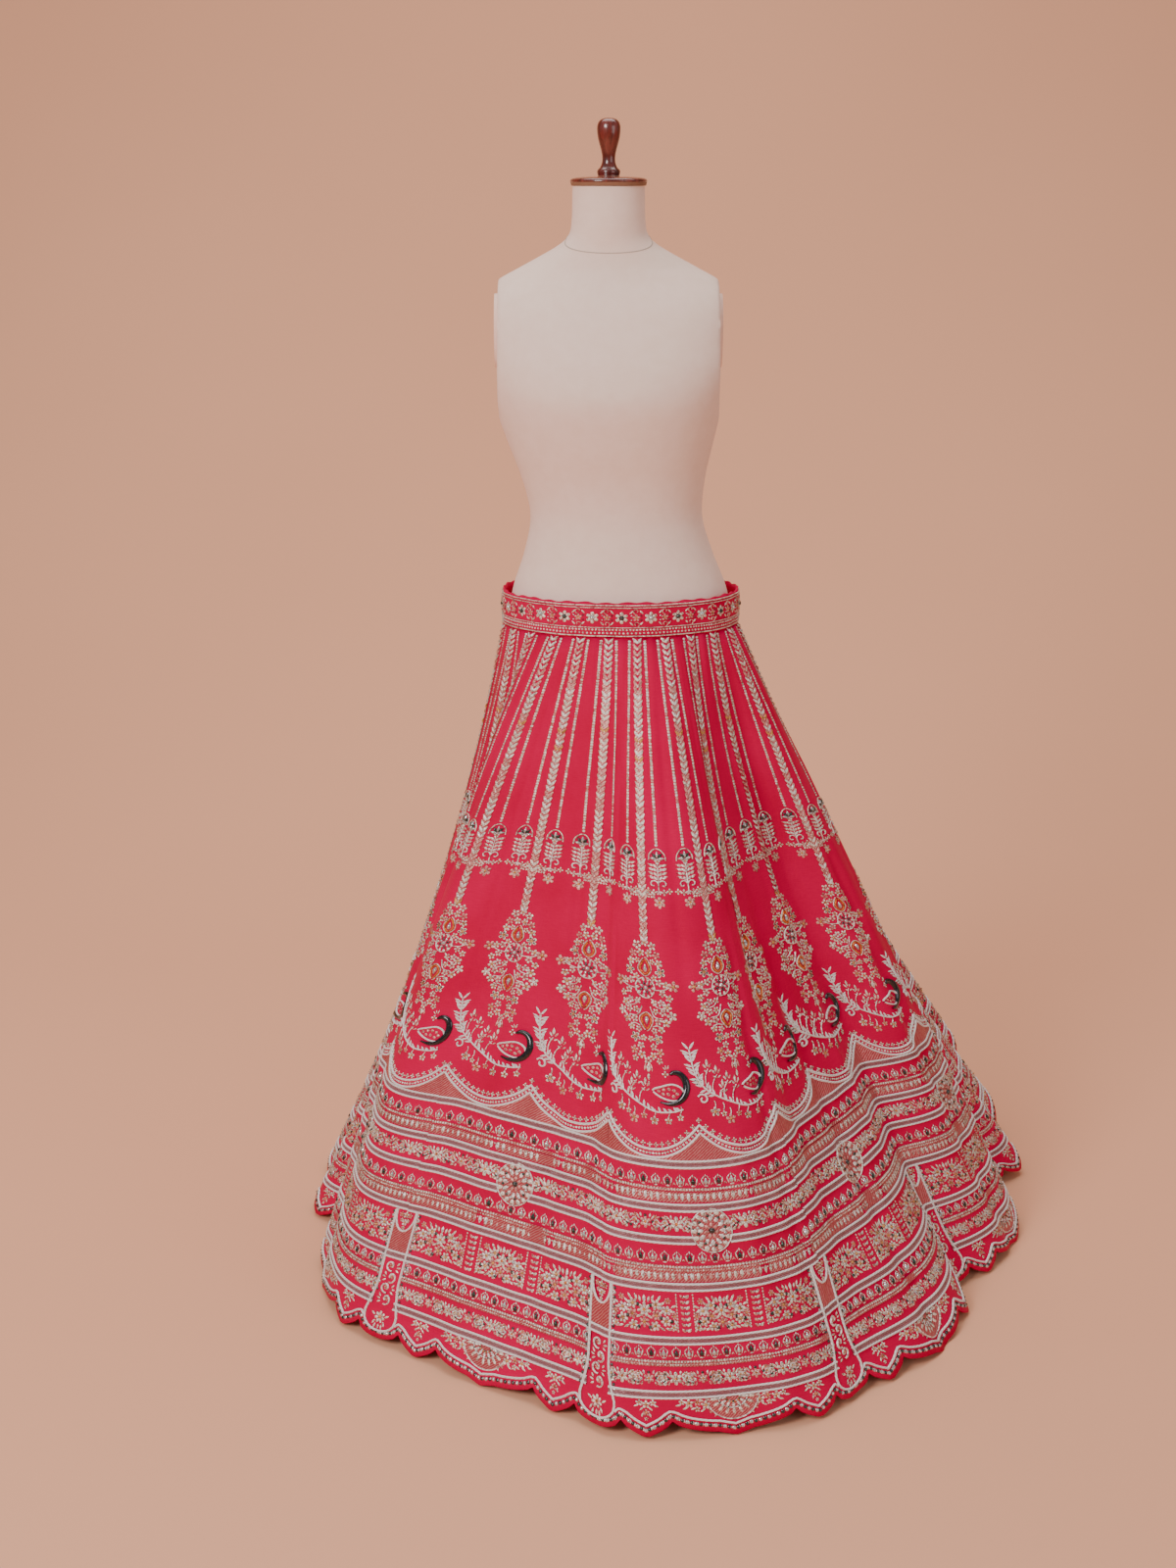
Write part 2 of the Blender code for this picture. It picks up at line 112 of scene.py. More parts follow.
def guideCurves():
    waist, girth = waistOval()
    hemValleys = np.stack((fold["hemX"], fold["hemY"]), axis=1)
    middle = (waist[:-1:samples] + hemValleys) / 2
    inward = middle.mean(axis=0) - middle
    inward /= np.linalg.norm(inward, axis=1)[:, None]
    onward = np.stack((inward[:, 1], -inward[:, 0]), axis=1)
    middle += inward * fold["tuck"][:, None] + onward * fold["slide"][:, None]
    halfWay = ringOfFlutes(middle, (girth / kaliCount + hemWidth) / 2, fold["beyond"])
    hem = ringOfFlutes(hemValleys, hemWidth, np.zeros(kaliCount))
    above = waistBottom - np.sqrt(flatLength**2 - np.linalg.norm(hem - waist, axis=1) ** 2) - hemZ
    return waist, halfWay, hem, hemZ + (above + np.sqrt(above**2 + floorEase**2)) / 2, girth


waistCurve, middleCurve, hemCurve, hemHeights, waistGirth = guideCurves()
waistWidth = waistGirth / kaliCount
steps = np.arange(kaliCount * samples + 1)


def baseAt(turn, down):
    place = (turn % kaliCount) * samples
    parts = (
        (waistCurve, (1 - down) * (1 - 2 * down)),
        (middleCurve, 4 * down * (1 - down)),
        (hemCurve, down * (2 * down - 1)),
    )
    x, y = (sum(np.interp(place, steps, curve[:, a]) * share for curve, share in parts) for a in (0, 1))
    return np.stack((x, y, waistBottom + (np.interp(place, steps, hemHeights) - waistBottom) * down), axis=-1)


def outwardAt(turn, down, step=0.006):
    across = baseAt(turn + step, down) - baseAt(turn - step, down)
    along = baseAt(turn, down + step) - baseAt(turn, down - step)
    normal = np.cross(along, across)
    return normal / np.linalg.norm(normal, axis=-1, keepdims=True)


# soft creases laid on the cloth: place round the skirt, start and end down it, width and depth
creaseColumns = ("turn", "start", "end", "drift", "width", "depth")
creases = (
    (0.20, 0.30, 0.62, 0.10, 0.05, -0.0040),
    (0.52, 0.02, 0.40, -0.04, 0.05, -0.0030),
    (0.60, 0.55, 0.98, 0.10, 0.07, 0.0050),
    (0.88, 0.35, 0.95, 0.05, 0.05, -0.0060),
    (1.45, 0.30, 0.98, 0.08, 0.06, -0.0080),
    (1.72, 0.10, 0.70, 0.05, 0.05, 0.0050),
    (2.35, 0.25, 0.98, 0.10, 0.06, -0.0070),
    (2.70, 0.10, 0.80, -0.05, 0.05, 0.0050),
    (3.30, 0.40, 0.98, 0.05, 0.06, -0.0060),
    (5.20, 0.20, 0.90, 0.04, 0.05, 0.0050),
    (6.60, 0.30, 0.98, -0.06, 0.06, -0.0060),
    (8.40, 0.20, 0.90, 0.06, 0.06, 0.0060),
    (9.50, 0.30, 0.98, 0.06, 0.07, -0.0070),
    (10.45, 0.20, 0.95, -0.05, 0.06, -0.0060),
    (11.30, 0.30, 0.98, 0.06, 0.07, 0.0060),
    (11.62, 0.20, 0.90, 0.03, 0.05, -0.0060),
)


def creaseAt(turn, down):
    made = 0.0012 * np.exp(-(down / 0.10) ** 2) * np.cos(2 * math.pi * 4 * turn)
    made = made - 0.0010 * np.exp(-(((turn + 0.5) % 1 - 0.5) * (waistWidth + down * 0.3) / 0.004) ** 2)
    made = made + 0.0022 * down * np.sin(2 * math.pi * (turn * 1.27 + 0.6 * down)) * np.sin(
        math.pi * (3 * down + turn)
    )
    for row in creases:
        c = dict(zip(creaseColumns, row))
        away = (turn - c["turn"] - c["drift"] * down + kaliCount / 2) % kaliCount - kaliCount / 2
        rise = np.clip((down - c["start"]) / 0.15, 0, 1) * np.clip((c["end"] + 0.12 - down) / 0.12, 0, 1)
        made = made + c["depth"] * np.exp(-((away / c["width"]) ** 2)) * rise * rise * (3 - 2 * rise)
    return made


def skirtAt(turn, down, height=0.0):
    out = outwardAt(turn, down)
    point = baseAt(turn, down) + out * (creaseAt(turn, down) + height)[..., None]
    point[..., 2] = np.maximum(point[..., 2], floorGap)
    return point


# widths of the piece being stitched
stitched = {"top": waistWidth, "bottom": hemWidth}


def widthAt(down):
    return stitched["top"] + (stitched["bottom"] - stitched["top"]) * down


# the cut of the hem: half widths in shares of a kali, drops in metres
hemCut = {
    "tab": 0.10, "tabDrop": 0.0145, "point": 0.19, "pointDrop": 0.0215,
    "ogee": 0.22, "ogeeDrop": 0.018, "tip": 0.06, "tipDrop": 0.005, "mean": 0.019,
}


def hemEdge(u):
    side = np.minimum(u % 1, 1 - u % 1)
    tab = hemCut["tabDrop"] * np.sqrt(np.clip(1 - (side / hemCut["tab"]) ** 2, 0, 1))
    pointHalf = hemCut["point"] - hemCut["tab"]
    point = hemCut["pointDrop"] * np.clip(1 - np.abs(side - hemCut["point"]) / pointHalf, 0, 1) ** 0.68
    middle = 0.5 - side
    belly = np.cos(math.pi / 2 * np.clip(middle / hemCut["ogee"], 0, 1)) ** 0.6
    ogee = hemCut["ogeeDrop"] * belly + hemCut["tipDrop"] * np.clip(1 - middle / hemCut["tip"], 0, 1)
    drop = np.where(side < hemCut["tab"], tab, np.where(side < hemCut["point"] + pointHalf, point, ogee))
    return 1 + (drop - hemCut["mean"]) / flatLength


class Wire:
    def __init__(self, tree, socket):
        self.tree, self.socket = tree, socket

    def math(self, kind, other=0.0, flipped=False, third=None):
        pair = (other, self) if flipped else (self, other)
        values = dict(enumerate(pair if third is None else (*pair, third)))
        return self.tree.node("ShaderNodeMath", {"operation": kind}, values)

    def __add__(self, other):
        return self.math("ADD", other)

    __radd__ = __add__

    def __mul__(self, other):
        return self.math("MULTIPLY", other)

    __rmul__ = __mul__

    def __sub__(self, other):
        return self.math("SUBTRACT", other)

    def __rsub__(self, other):
        return self.math("SUBTRACT", other, flipped=True)

    def __truediv__(self, other):
        return self.math("DIVIDE", other)

    def __rtruediv__(self, other):
        return self.math("DIVIDE", other, flipped=True)


class Finish:
    def __init__(self, name, **fixed):
        self.made = bpy.data.materials.new(name)
        self.made.use_nodes = True
        self.nodes, self.links = self.made.node_tree.nodes, self.made.node_tree.links
        self.shader = self.nodes["Principled BSDF"]
        self.put(fixed)

    def put(self, values):
        for name, value in values.items():
            self.plug(self.shader.inputs[name.replace("_", " ")], value)

    def plug(self, socket, value):
        if isinstance(value, Wire):
            self.links.new(value.socket, socket)
        elif hasattr(value, "__len__") and socket.type == "RGBA":
            socket.default_value = (*value, 1.0)[:4]
        else:
            socket.default_value = value

    def node(self, kind, settings=None, values=None, out=0):
        made = self.nodes.new(kind)
        for name, value in (settings or {}).items():
            setattr(made, name, value)
        for name, value in (values or {}).items():
            self.plug(made.inputs[name], value)
        return Wire(self, made.outputs[out])

    def mix(self, share, a, b, blend="MIX"):
        settings = {"data_type": "RGBA", "blend_type": blend, "clamp_factor": True}
        return self.node("ShaderNodeMix", settings, {0: share, 6: a, 7: b}, 2)

    def place(self, scale=(1, 1, 1), kind="UV"):
        point = self.node("ShaderNodeTexCoord", out=kind)
        return self.node("ShaderNodeMapping", {}, {"Vector": point, "Scale": scale})

    def noise(self, at, scale, detail=2.0, rough=0.5):
        return self.node(
            "ShaderNodeTexNoise", {}, {"Vector": at, "Scale": scale, "Detail": detail, "Roughness": rough}
        )

    def spread(self, value, low, high, toLow=0.0, toHigh=1.0):
        values = {0: value, 1: low, 2: high, 3: toLow, 4: toHigh}
        return self.node("ShaderNodeMapRange", {"clamp": True}, values)

    def bump(self, height, strength, distance):
        values = {"Height": height, "Strength": strength, "Distance": distance}
        return self.node("ShaderNodeBump", {}, values)

    def wave(self, at, direction, scale, distortion, detail=2.0):
        values = {"Vector": at, "Scale": scale, "Distortion": distortion, "Detail": detail}
        return self.node("ShaderNodeTexWave", {"bands_direction": direction}, values)

    def dye(self):
        return self.node("ShaderNodeVertexColor", {"layer_name": "dye"})


def silkFinish(name, across, down):
    # plain-woven silk: UV 0 to 1 covers across by down metres
    made = Finish(name, Specular_IOR_Level=0.04, Specular_Tint=(1.0, 0.12, 0.22))
    metres = made.place((across, down, 1))
    slub = made.noise(made.place((across * 60, down * 900, 1)), 1.0, 2.0)
    cloud = made.noise(metres, 7.0, 3.0)
    tone = made.mix(made.spread(cloud, 0.35, 0.65), (0.58, 0.0001, 0.058), (0.68, 0.0002, 0.080))
    made.put({"Base_Color": made.mix(made.spread(slub, 0.3, 0.75, 0.0, 0.28), tone, (0.42, 0.0001, 0.030))})
    warp = made.wave(metres, "X", 260.0, 0.4)
    weft = made.wave(metres, "Y", 260.0, 0.4)
    made.put({"Normal": made.bump(warp * 0.4 + weft * 0.5 + slub * 1.2, 0.12, 0.0006)})
    made.put({"Roughness": made.spread(cloud + slub * 0.5, 0.5, 1.1, 0.36, 0.5)})
    return made.made


def threadFinish(name, metallic, roughness, strength):
    # metal thread: the dye of each stitch group comes with the mesh, and fine noise breaks it into painted
    # glints, with painted shade in the gaps between them
    made = Finish(name, Metallic=metallic, Specular_IOR_Level=0.6)
    dye = made.dye()
    grain = made.noise(made.place(kind="Object"), 900.0, 1.0)
    glint = made.noise(made.place(kind="Object"), 330.0, 2.0, 0.7)
    # painted shade: the dye darkened where the glint noise is low; where it is high the dye stays bright as
    # painted glints
    paintedGapShade = made.mix(0.85, dye, (0.20, 0.07, 0.06), "MULTIPLY")
    made.put({"Base_Color": made.mix(made.spread(glint, 0.36, 0.54), paintedGapShade, dye)})
    made.put({"Roughness": made.spread(glint, 0.3, 0.7, roughness + 0.12, roughness - 0.08)})
    made.put({"Normal": made.bump(grain + glint, strength, 0.0012)})
    return made.made


def cordFinish():
    # white cord: twisted plies as slanted stripes, with painted shade darkening the grooves between the
    # plies, v runs along the cord in metres
    made = Finish("white_cord", Specular_IOR_Level=0.4, Sheen_Weight=0.2)
    dye = made.dye()
    place = made.place((1.2, 330.0, 1))
    twist = made.wave(place, "DIAGONAL", 0.30, 0.3)
    made.put({"Base_Color": made.mix(twist, made.mix(0.45, dye, (0.35, 0.25, 0.24), "MULTIPLY"), dye)})
    made.put({"Roughness": made.spread(twist, 0.0, 1.0, 0.6, 0.38), "Normal": made.bump(twist, 0.55, 0.0010)})
    return made.made


def panelFinish():
    # dense stitched ground: short slanted stitches, silk showing between them
    made = Finish("zari_ground", Metallic=0.35, Specular_IOR_Level=0.5)
    dye = made.dye()
    place = made.place((330.0, 330.0, 1))
    rows = made.wave(place, "DIAGONAL", 0.42, 2.2, 1.0)
    cells = made.node("ShaderNodeTexVoronoi", {"feature": "F1"}, {"Vector": place, "Scale": 0.9})
    stitch = made.spread(rows + made.spread(cells, 0.1, 0.7, 0.5, 0.0), 0.45, 0.95)
    made.put({"Base_Color": made.mix(stitch, made.mix(0.85, dye, (0.42, 0.004, 0.03)), dye)})
    made.put({"Roughness": made.spread(stitch, 0, 1, 0.6, 0.34), "Normal": made.bump(stitch, 0.6, 0.0012)})
    return made.made


def stoneFinish():
    made = Finish("cut_stones", Specular_IOR_Level=0.8, Coat_Weight=0.6, Coat_Roughness=0.05)
    dye = made.dye()
    # painted sparkle in the base colour: the noise picks the dye as painted highlights or a darkened dye as
    # painted shade on the facets; it also varies metallic and roughness
    fire = made.noise(made.place(kind="Object"), 420.0, 1.0)
    paintedFacetShade = made.mix(0.7, dye, (0.2, 0.2, 0.22), "MULTIPLY")
    made.put({"Base_Color": made.mix(made.spread(fire, 0.45, 0.62), paintedFacetShade, dye)})
    made.put({"Metallic": made.spread(fire, 0.4, 0.6, 0.35, 0.75)})
    made.put({"Roughness": made.spread(fire, 0.4, 0.6, 0.28, 0.10)})
    return made.made


def linenFinish():
    made = Finish("form_linen_cloth", Specular_IOR_Level=0.20)
    place = made.place(kind="Object")
    warp = made.wave(place, "X", 230.0, 1.0, 1.0)
    weft = made.wave(place, "Z", 230.0, 1.0, 1.0)
    slub = made.noise(place, 60.0, 4.0, 0.6)
    weave = warp * 0.5 + weft * 0.5
    pale = made.mix(made.spread(slub, 0.35, 0.65), (0.93, 0.70, 0.60), (0.96, 0.74, 0.645))
    made.put({"Base_Color": made.mix(made.spread(weave, 0.2, 0.9, 0.25, 0.0), pale, (0.84, 0.62, 0.53))})
    made.put(
        {
            "Roughness": made.spread(slub, 0.3, 0.7, 0.72, 0.85),
            "Normal": made.bump(weave + slub * 0.6, 0.10, 0.0006)
        }
    )
    return made.made


def woodFinish():
    made = Finish("varnished_wood", Specular_IOR_Level=0.5, Coat_Weight=0.8, Coat_Roughness=0.08)
    grain = made.noise(made.place((9, 9, 1.2), "Object"), 14.0, 5.0, 0.6)
    streak = made.noise(made.place((60, 60, 4), "Object"), 8.0, 3.0)
    dark = made.mix(made.spread(grain, 0.35, 0.65), (0.075, 0.010, 0.008), (0.21, 0.026, 0.019))
    made.put({"Base_Color": made.mix(made.spread(streak, 0.5, 0.7, 0.0, 0.4), dark, (0.03, 0.006, 0.004))})
    made.put(
        {"Roughness": made.spread(grain, 0.3, 0.7, 0.22, 0.32), "Normal": made.bump(streak, 0.05, 0.0006)}
    )
    return made.made


def blackMetalFinish():
    made = Finish("satin_black_metal", Metallic=0.6)
    fleck = made.noise(made.place(kind="Object"), 500.0, 2.0)
    wear = made.noise(made.place(kind="Object"), 9.0, 4.0)
    made.put(
        {"Base_Color": made.mix(made.spread(wear, 0.4, 0.7), (0.030, 0.029, 0.031), (0.050, 0.047, 0.046))}
    )
    made.put({"Roughness": made.spread(wear, 0.3, 0.7, 0.34, 0.5), "Normal": made.bump(fleck, 0.08, 0.0004)})
    return made.made


def plainFinish(name, low, high, roughness):
    made = Finish(name, Specular_IOR_Level=0.3)
    grain = made.noise(made.place(kind="Object"), 120.0, 4.0)
    made.put({"Base_Color": made.mix(grain, low, high)})
    made.put({"Roughness": made.spread(grain, 0.3, 0.7, roughness, roughness + 0.1)})
    return made.made


finishes = {
    "silk": silkFinish("raspberry_silk_cloth", kaliCount * 0.23, flatLength),
    "band": silkFinish("waistband_silk_cloth", waistGirth, 0.05),
    "thread": threadFinish("zari_thread", 0.50, 0.34, 0.60),
    "cord": cordFinish(),
    "panel": panelFinish(),
    "stone": stoneFinish(),
    "linen": linenFinish(),
    "tape": plainFinish("seam_tape", (0.50, 0.38, 0.31), (0.60, 0.47, 0.39), 0.75),
    "wood": woodFinish(),
    "rim": plainFinish("bare_wood_rim", (0.22, 0.105, 0.060), (0.31, 0.16, 0.095), 0.45),
    "metal": blackMetalFinish(),
}
print("finishes made")


def makeMesh(name, points, faces, finish, uv=None, dye=None, wraps=False):
    # faces is an array of triangles or of quads, or a list of both
    mesh = bpy.data.meshes.new(name)
    groups = faces if isinstance(faces, list) else [faces]
    corners = np.concatenate([group.ravel() for group in groups])
    sizes = np.concatenate([np.full(len(group), group.shape[1]) for group in groups])
    mesh.vertices.add(len(points))
    mesh.vertices.foreach_set("co", np.asarray(points, np.float32).ravel())
    mesh.loops.add(len(corners))
    mesh.loops.foreach_set("vertex_index", corners.astype(np.int32))
    mesh.polygons.add(len(sizes))
    mesh.polygons.foreach_set("loop_start", np.concatenate(([0], np.cumsum(sizes)[:-1])).astype(np.int32))
    mesh.update(calc_edges=True)
    mesh.validate()
    if uv is not None:
        layer = mesh.uv_layers.new(name="UVMap")
        laid = np.asarray(uv, np.float32)[corners]
        if wraps:
            # a face that closes the ring takes its last column as 1, not 0
            quads = laid.reshape(-1, groups[0].shape[1], 2)
            quads[..., 0] += (np.ptp(quads[..., 0], axis=1, keepdims=True) > 0.5) & (quads[..., 0] < 0.5)
        layer.data.foreach_set("uv", laid.ravel())
    if dye is not None:
        layer = mesh.color_attributes.new("dye", "FLOAT_COLOR", "POINT")
        opaque = np.concatenate((dye, np.ones((len(dye), 1))), axis=1)
        layer.data.foreach_set("color", opaque.astype(np.float32).ravel())
    mesh.materials.append(finish)
    mesh.shade_smooth()
    made = bpy.data.objects.new(name, mesh)
    bpy.context.scene.collection.objects.link(made)
    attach(made, "root")
    return made


def gridFaces(wide, tall, closed=False):
    # quads of a grid of points laid row by row, wide points to a row
    i, j = np.meshgrid(np.arange(tall - 1), np.arange(wide if closed else wide - 1), indexing="ij")
    k = (j + 1) % wide
    return np.stack((i * wide + j, (i + 1) * wide + j, (i + 1) * wide + k, i * wide + k), axis=-1).reshape(
        -1, 4
    )


def ringFaces(wide, tall):
    # a closed tube of two layers, outer points first, joined along the top and the bottom
    faces, count, ring = gridFaces(wide, tall, closed=True), wide * tall, np.arange(wide)
    after = (ring + 1) % wide
    top = np.stack((ring, after, after + count, ring + count), axis=1)
    low = (count - wide) + np.stack((after, ring, ring + count, after + count), axis=1)
    return np.concatenate((faces, faces[:, ::-1] + count, top, low))


cloth = {"perKali": 50, "rows": 58, "wall": 0.0018}


def makeCloth():
    wide, tall = kaliCount * cloth["perKali"], cloth["rows"]
    turn = np.arange(wide) / cloth["perKali"]
    share = np.linspace(0, 1, tall) ** 0.92
    down = share[:, None] * (1 + (hemEdge(turn)[None, :] - 1) * share[:, None] ** 8)
    turns = np.broadcast_to(turn, down.shape)
    outer = skirtAt(turns, down).reshape(-1, 3)
    inner = skirtAt(turns, down, np.full(down.shape, -cloth["wall"])).reshape(-1, 3)
    across = np.broadcast_to(np.arange(wide) / wide, (tall, wide))
    uv = np.stack((across, 1 - down), axis=-1).reshape(-1, 2)
    points, uv = np.concatenate((outer, inner)), np.concatenate((uv, uv))
    made = makeMesh("skirt_cloth", points, ringFaces(wide, tall), finishes["silk"], uv, wraps=True)
    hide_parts(*[f"kali_{i + 1:02d}" for i in range(kaliCount)])
    return made


skirt = makeCloth()
print("cloth laid")


dyes = {
    "silver": (0.92, 0.84, 0.72), "pale": (0.98, 0.95, 0.90), "pink": (0.80, 0.13, 0.17), "gold": (
        0.78, 0.38, 0.12
    ),
    "orange": (0.90, 0.22, 0.04), "white": (0.97, 0.95, 0.94), "lilac": (0.60, 0.42, 0.45), "rose": (
        0.62, 0.20, 0.19
    ),
    "green": (0.020, 0.045, 0.030), "smoke": (0.06, 0.06, 0.055), "clear": (0.80, 0.80, 0.78),
    "night": (0.020, 0.020, 0.026), "blush": (0.84, 0.40, 0.36),
}
dyes = {name: np.array(value) for name, value in dyes.items()}
rng = np.random.default_rng(7)


def roundShape(sides):
    turns = np.arange(sides) * 2 * math.pi / sides
    return np.stack((np.sin(turns), -np.cos(turns)), axis=1)


pearSide = ((0.5, -0.3), (0.85, 0.3), (0.55, 0.85))
# outlines of the stitches, clockwise from the top
shapes = {
    "bead": roundShape(5), "disc": roundShape(8),
    "leaf": np.array(((0, -1), (0.8, -0.25), (0.75, 0.4), (0, 1), (-0.75, 0.4), (-0.8, -0.25))),
    "pear": np.array(((0, -1), *pearSide, (0, 1), *[(-x, y) for x, y in pearSide[::-1]])),
    "petal": np.array(((0, 0.9), (0.75, 0.15), (0.6, -0.75), (0, -1), (-0.6, -0.75), (-0.75, 0.15))),
}


def halved(quads):
    return np.concatenate((quads[:, [0, 1, 2]], quads[:, [0, 2, 3]]))


class Work:
    # stitches of one kali, in shares of its width, shares of its length and metres of height
    def __init__(self):
        self.points, self.faces, self.dyes, self.uvs, self.count = [], [], [], [], 0

    def add(self, points, faces, dye, uv):
        self.points.append(points)
        self.faces.append(faces + self.count)
        self.dyes.append(np.broadcast_to(dye, (len(points), 3)))
        self.uvs.append(uv)
        self.count += len(points)

    def stamp(self, shape, u, v, wide, tall, turn=0.0, high=0.0012, dye="silver", rings=1, lift=0.0):
        # one raised shape at each place; sizes are half widths in metres, and turn is in degrees clockwise
        outline = shapes[shape]
        given = np.broadcast_arrays(u, v, wide, tall, turn, high, lift)
        u, v, wide, tall, turn, high, lift = (np.asarray(a, float).ravel() for a in given)
        angle, corners = np.radians(turn)[:, None], len(outline)
        levels = ((1.0, 0.0),) if rings == 1 else ((1.0, 0.0), (0.62, 0.9))
        parts = [(outline * size, level) for size, level in levels] + [(np.zeros((1, 2)), 1.0)]
        local = np.concatenate([part for part, _ in parts])
        level = np.concatenate([np.full(len(part), raised) for part, raised in parts])
        x, y = local[None, :, 0] * wide[:, None], local[None, :, 1] * tall[:, None]
        dx, dy = x * np.cos(angle) - y * np.sin(angle), x * np.sin(angle) + y * np.cos(angle)
        down = v[:, None] + dy / flatLength
        height = level[None, :] * high[:, None] + lift[:, None]
        points = np.stack((u[:, None] + dx / widthAt(down), down, height), axis=-1)
        size, i = len(local), np.arange(corners)
        j, faces = (i + 1) % corners, []
        for ring in range(len(levels) - 1):
            o, k = ring * corners, (ring + 1) * corners
            faces += [np.stack((o + i, o + j, k + j), 1), np.stack((o + i, k + j, k + i), 1)]
        o = (len(levels) - 1) * corners
        faces.append(np.stack((o + i, o + j, np.full(corners, size - 1)), 1))
        faces = np.concatenate(faces)[:, ::-1]
        every = (faces[None] + (np.arange(len(u)) * size)[:, None, None]).reshape(-1, 3)
        colour = dyes[dye] if isinstance(dye, str) else np.repeat(np.asarray(dye), size, axis=0)
        self.add(points.reshape(-1, 3), every, colour, np.stack((dx, dy), axis=-1).reshape(-1, 2))

    def tube(self, path, half, high, dye="white", closed=False, lift=0.0):
        # a half-round cord along a path of (u, v)
        path = np.asarray(path, float)
        ahead = np.roll(path, -1, axis=0) - np.roll(path, 1, axis=0)
        if not closed:
            ahead[0], ahead[-1] = path[1] - path[0], path[-1] - path[-2]
        flat = np.stack((ahead[:, 0] * widthAt(path[:, 1]), ahead[:, 1] * flatLength), axis=1)
        flat /= np.maximum(np.linalg.norm(flat, axis=1, keepdims=True), 1e-9)
        side = np.stack((-flat[:, 1], flat[:, 0]), axis=1)
        half = np.broadcast_to(half, (len(path),))[:, None]
        across, heights = np.array((-1.0, -0.55, 0.55, 1.0)), np.array((0.0, 1.0, 1.0, 0.0))
        step = side[:, None] * (across[None] * half)[..., None]
        down = path[:, None, 1] + step[..., 1] / flatLength
        heights = np.broadcast_to(heights * high + lift, down.shape)
        points = np.stack((path[:, None, 0] + step[..., 0] / widthAt(down), down, heights), axis=-1)
        rows, wide = len(path), len(across)
        quads = gridFaces(wide, rows + 1 if closed else rows)[:, ::-1] % (rows * wide)
        metres = lengthsAlong(np.stack((path[:, 0] * widthAt(path[:, 1]), path[:, 1] * flatLength), axis=1))
        uv = np.stack(
            (np.broadcast_to(across, down.shape), np.broadcast_to(metres[:, None], down.shape)), axis=-1
        )
        self.add(points.reshape(-1, 3), halved(quads), dyes[dye], uv.reshape(-1, 2))

    def strip(self, upper, lower, dye, high=0.0006, rows=2):
        # a flat ground between two paths of (u, v) with as many points each
        upper, lower = np.asarray(upper, float), np.asarray(lower, float)
        share = np.linspace(0, 1, rows + 1)[:, None, None]
        place = upper[None] * (1 - share) + lower[None] * share
        points = np.concatenate((place, np.full(place.shape[:2] + (1,), high)), axis=-1)
        quads = gridFaces(len(upper), rows + 1)
        uv = np.stack((place[..., 0] * widthAt(place[..., 1]), place[..., 1] * flatLength), axis=-1)
        self.add(points.reshape(-1, 3), halved(quads), dyes[dye], uv.reshape(-1, 2))

    def flower(self, u, v, radius, petals=5, dye="silver", heart="gold", high=0.0014, spin=0.0, lift=0.0):
        u, v, radius, spin = (np.asarray(a, float).ravel() for a in np.broadcast_arrays(u, v, radius, spin))
        for p in range(petals):
            turn = spin + p * 360 / petals
            x, y = np.sin(np.radians(turn)) * radius * 0.6, -np.cos(np.radians(turn)) * radius * 0.6
            down = v + y / flatLength
            wide, tall = radius * min(0.42, 2.3 / petals), radius * 0.44
            self.stamp("petal", u + x / widthAt(down), down, wide, tall, turn, high, dye, lift=lift)
        self.stamp("bead", u, v, radius * 0.34, radius * 0.34, spin, high * 1.6, heart, lift=lift)

    def posy(self, anchor, rows, high, petals=5, heart="gold", flip=1, lift=0.0):
        # flowers at rows of (x, y, radius, dye) in millimetres
        for x, y, radius, dye in rows:
            place = mm(*anchor, x * flip, y)
            self.flower(
                *place, radius / 1000, petals, dye, heart, high, 20 * flip if petals == 6 else 0, lift
            )

    def sprigs(self, anchor, rows, wide, tall, high, flip=1):
        # silver leaves at rows of (x, y, turn) in millimetres and degrees
        for x, y, turn in rows:
            self.stamp("leaf", *mm(*anchor, x * flip, y), wide, tall, turn * flip, high)

    def laid(self, points, faces, uv, dye):
        # the one kali's stitches, on every kali of the skirt
        u, v, heights = points.T
        kalis = range(kaliCount)
        turns = np.concatenate([u + k for k in kalis])
        downs = np.concatenate([v + handShift(u, v, k) for k in kalis])
        placed = skirtAt(turns, downs, np.tile(heights, kaliCount) + 0.0003)
        every = np.concatenate([faces + k * len(points) for k in kalis])
        shade = np.concatenate([dye * rng.uniform(0.9, 1.06) for _ in kalis])
        return placed, every, np.tile(uv, (kaliCount, 1)), shade

    def build(self, name, finish, slotName="skirt_silk"):
        whole = [np.concatenate(part) for part in (self.points, self.faces, self.uvs, self.dyes)]
        points, faces, uv, dye = self.laid(*whole)
        made = makeMesh(name, points, faces, finish, uv, dye)
        print(name, len(faces), "triangles")
        return made


def handShift(u, v, k):
    # each kali is worked by hand, so its border sits a little high or low
    return 0.0012 * math.sin(2.4 * k + 1) * np.clip((v - 0.6) / 0.1, 0, 1) * np.clip((1.0 - v) / 0.05, 0, 1)


def mm(u0, v0, x, y):
    # (u, v) of a place x and y millimetres from an anchor
    x, y = np.asarray(x, float), np.asarray(y, float)
    down = v0 + y / 1000 / flatLength
    return u0 + x / 1000 / widthAt(down), down


def curve(points, stepsEach=6, closed=False):
    # a smooth path through given points
    p = np.asarray(points, float)
    before, after = (p[-1:], p[:2]) if closed else (2 * p[:1] - p[1:2], 2 * p[-1:] - p[-2:-1])
    q = np.concatenate((before, p, after))
    t = np.linspace(0, 1, stepsEach, endpoint=False)[:, None]
    made = []
    for a, b, c, d in zip(q[:-3], q[1:-2], q[2:-1], q[3:]):
        square, cube = 2 * a - 5 * b + 4 * c - d, 3 * b - a - 3 * c + d
        made.append(0.5 * (2 * b + (c - a) * t + square * t**2 + cube * t**3))
    return np.concatenate(made if closed else [*made, p[-1:]])


def along(anchor, points, stepsEach=5, closed=False, flip=1):
    path = curve(points, stepsEach, closed)
    return np.stack(mm(*anchor, path[:, 0] * flip, path[:, 1]), axis=1)


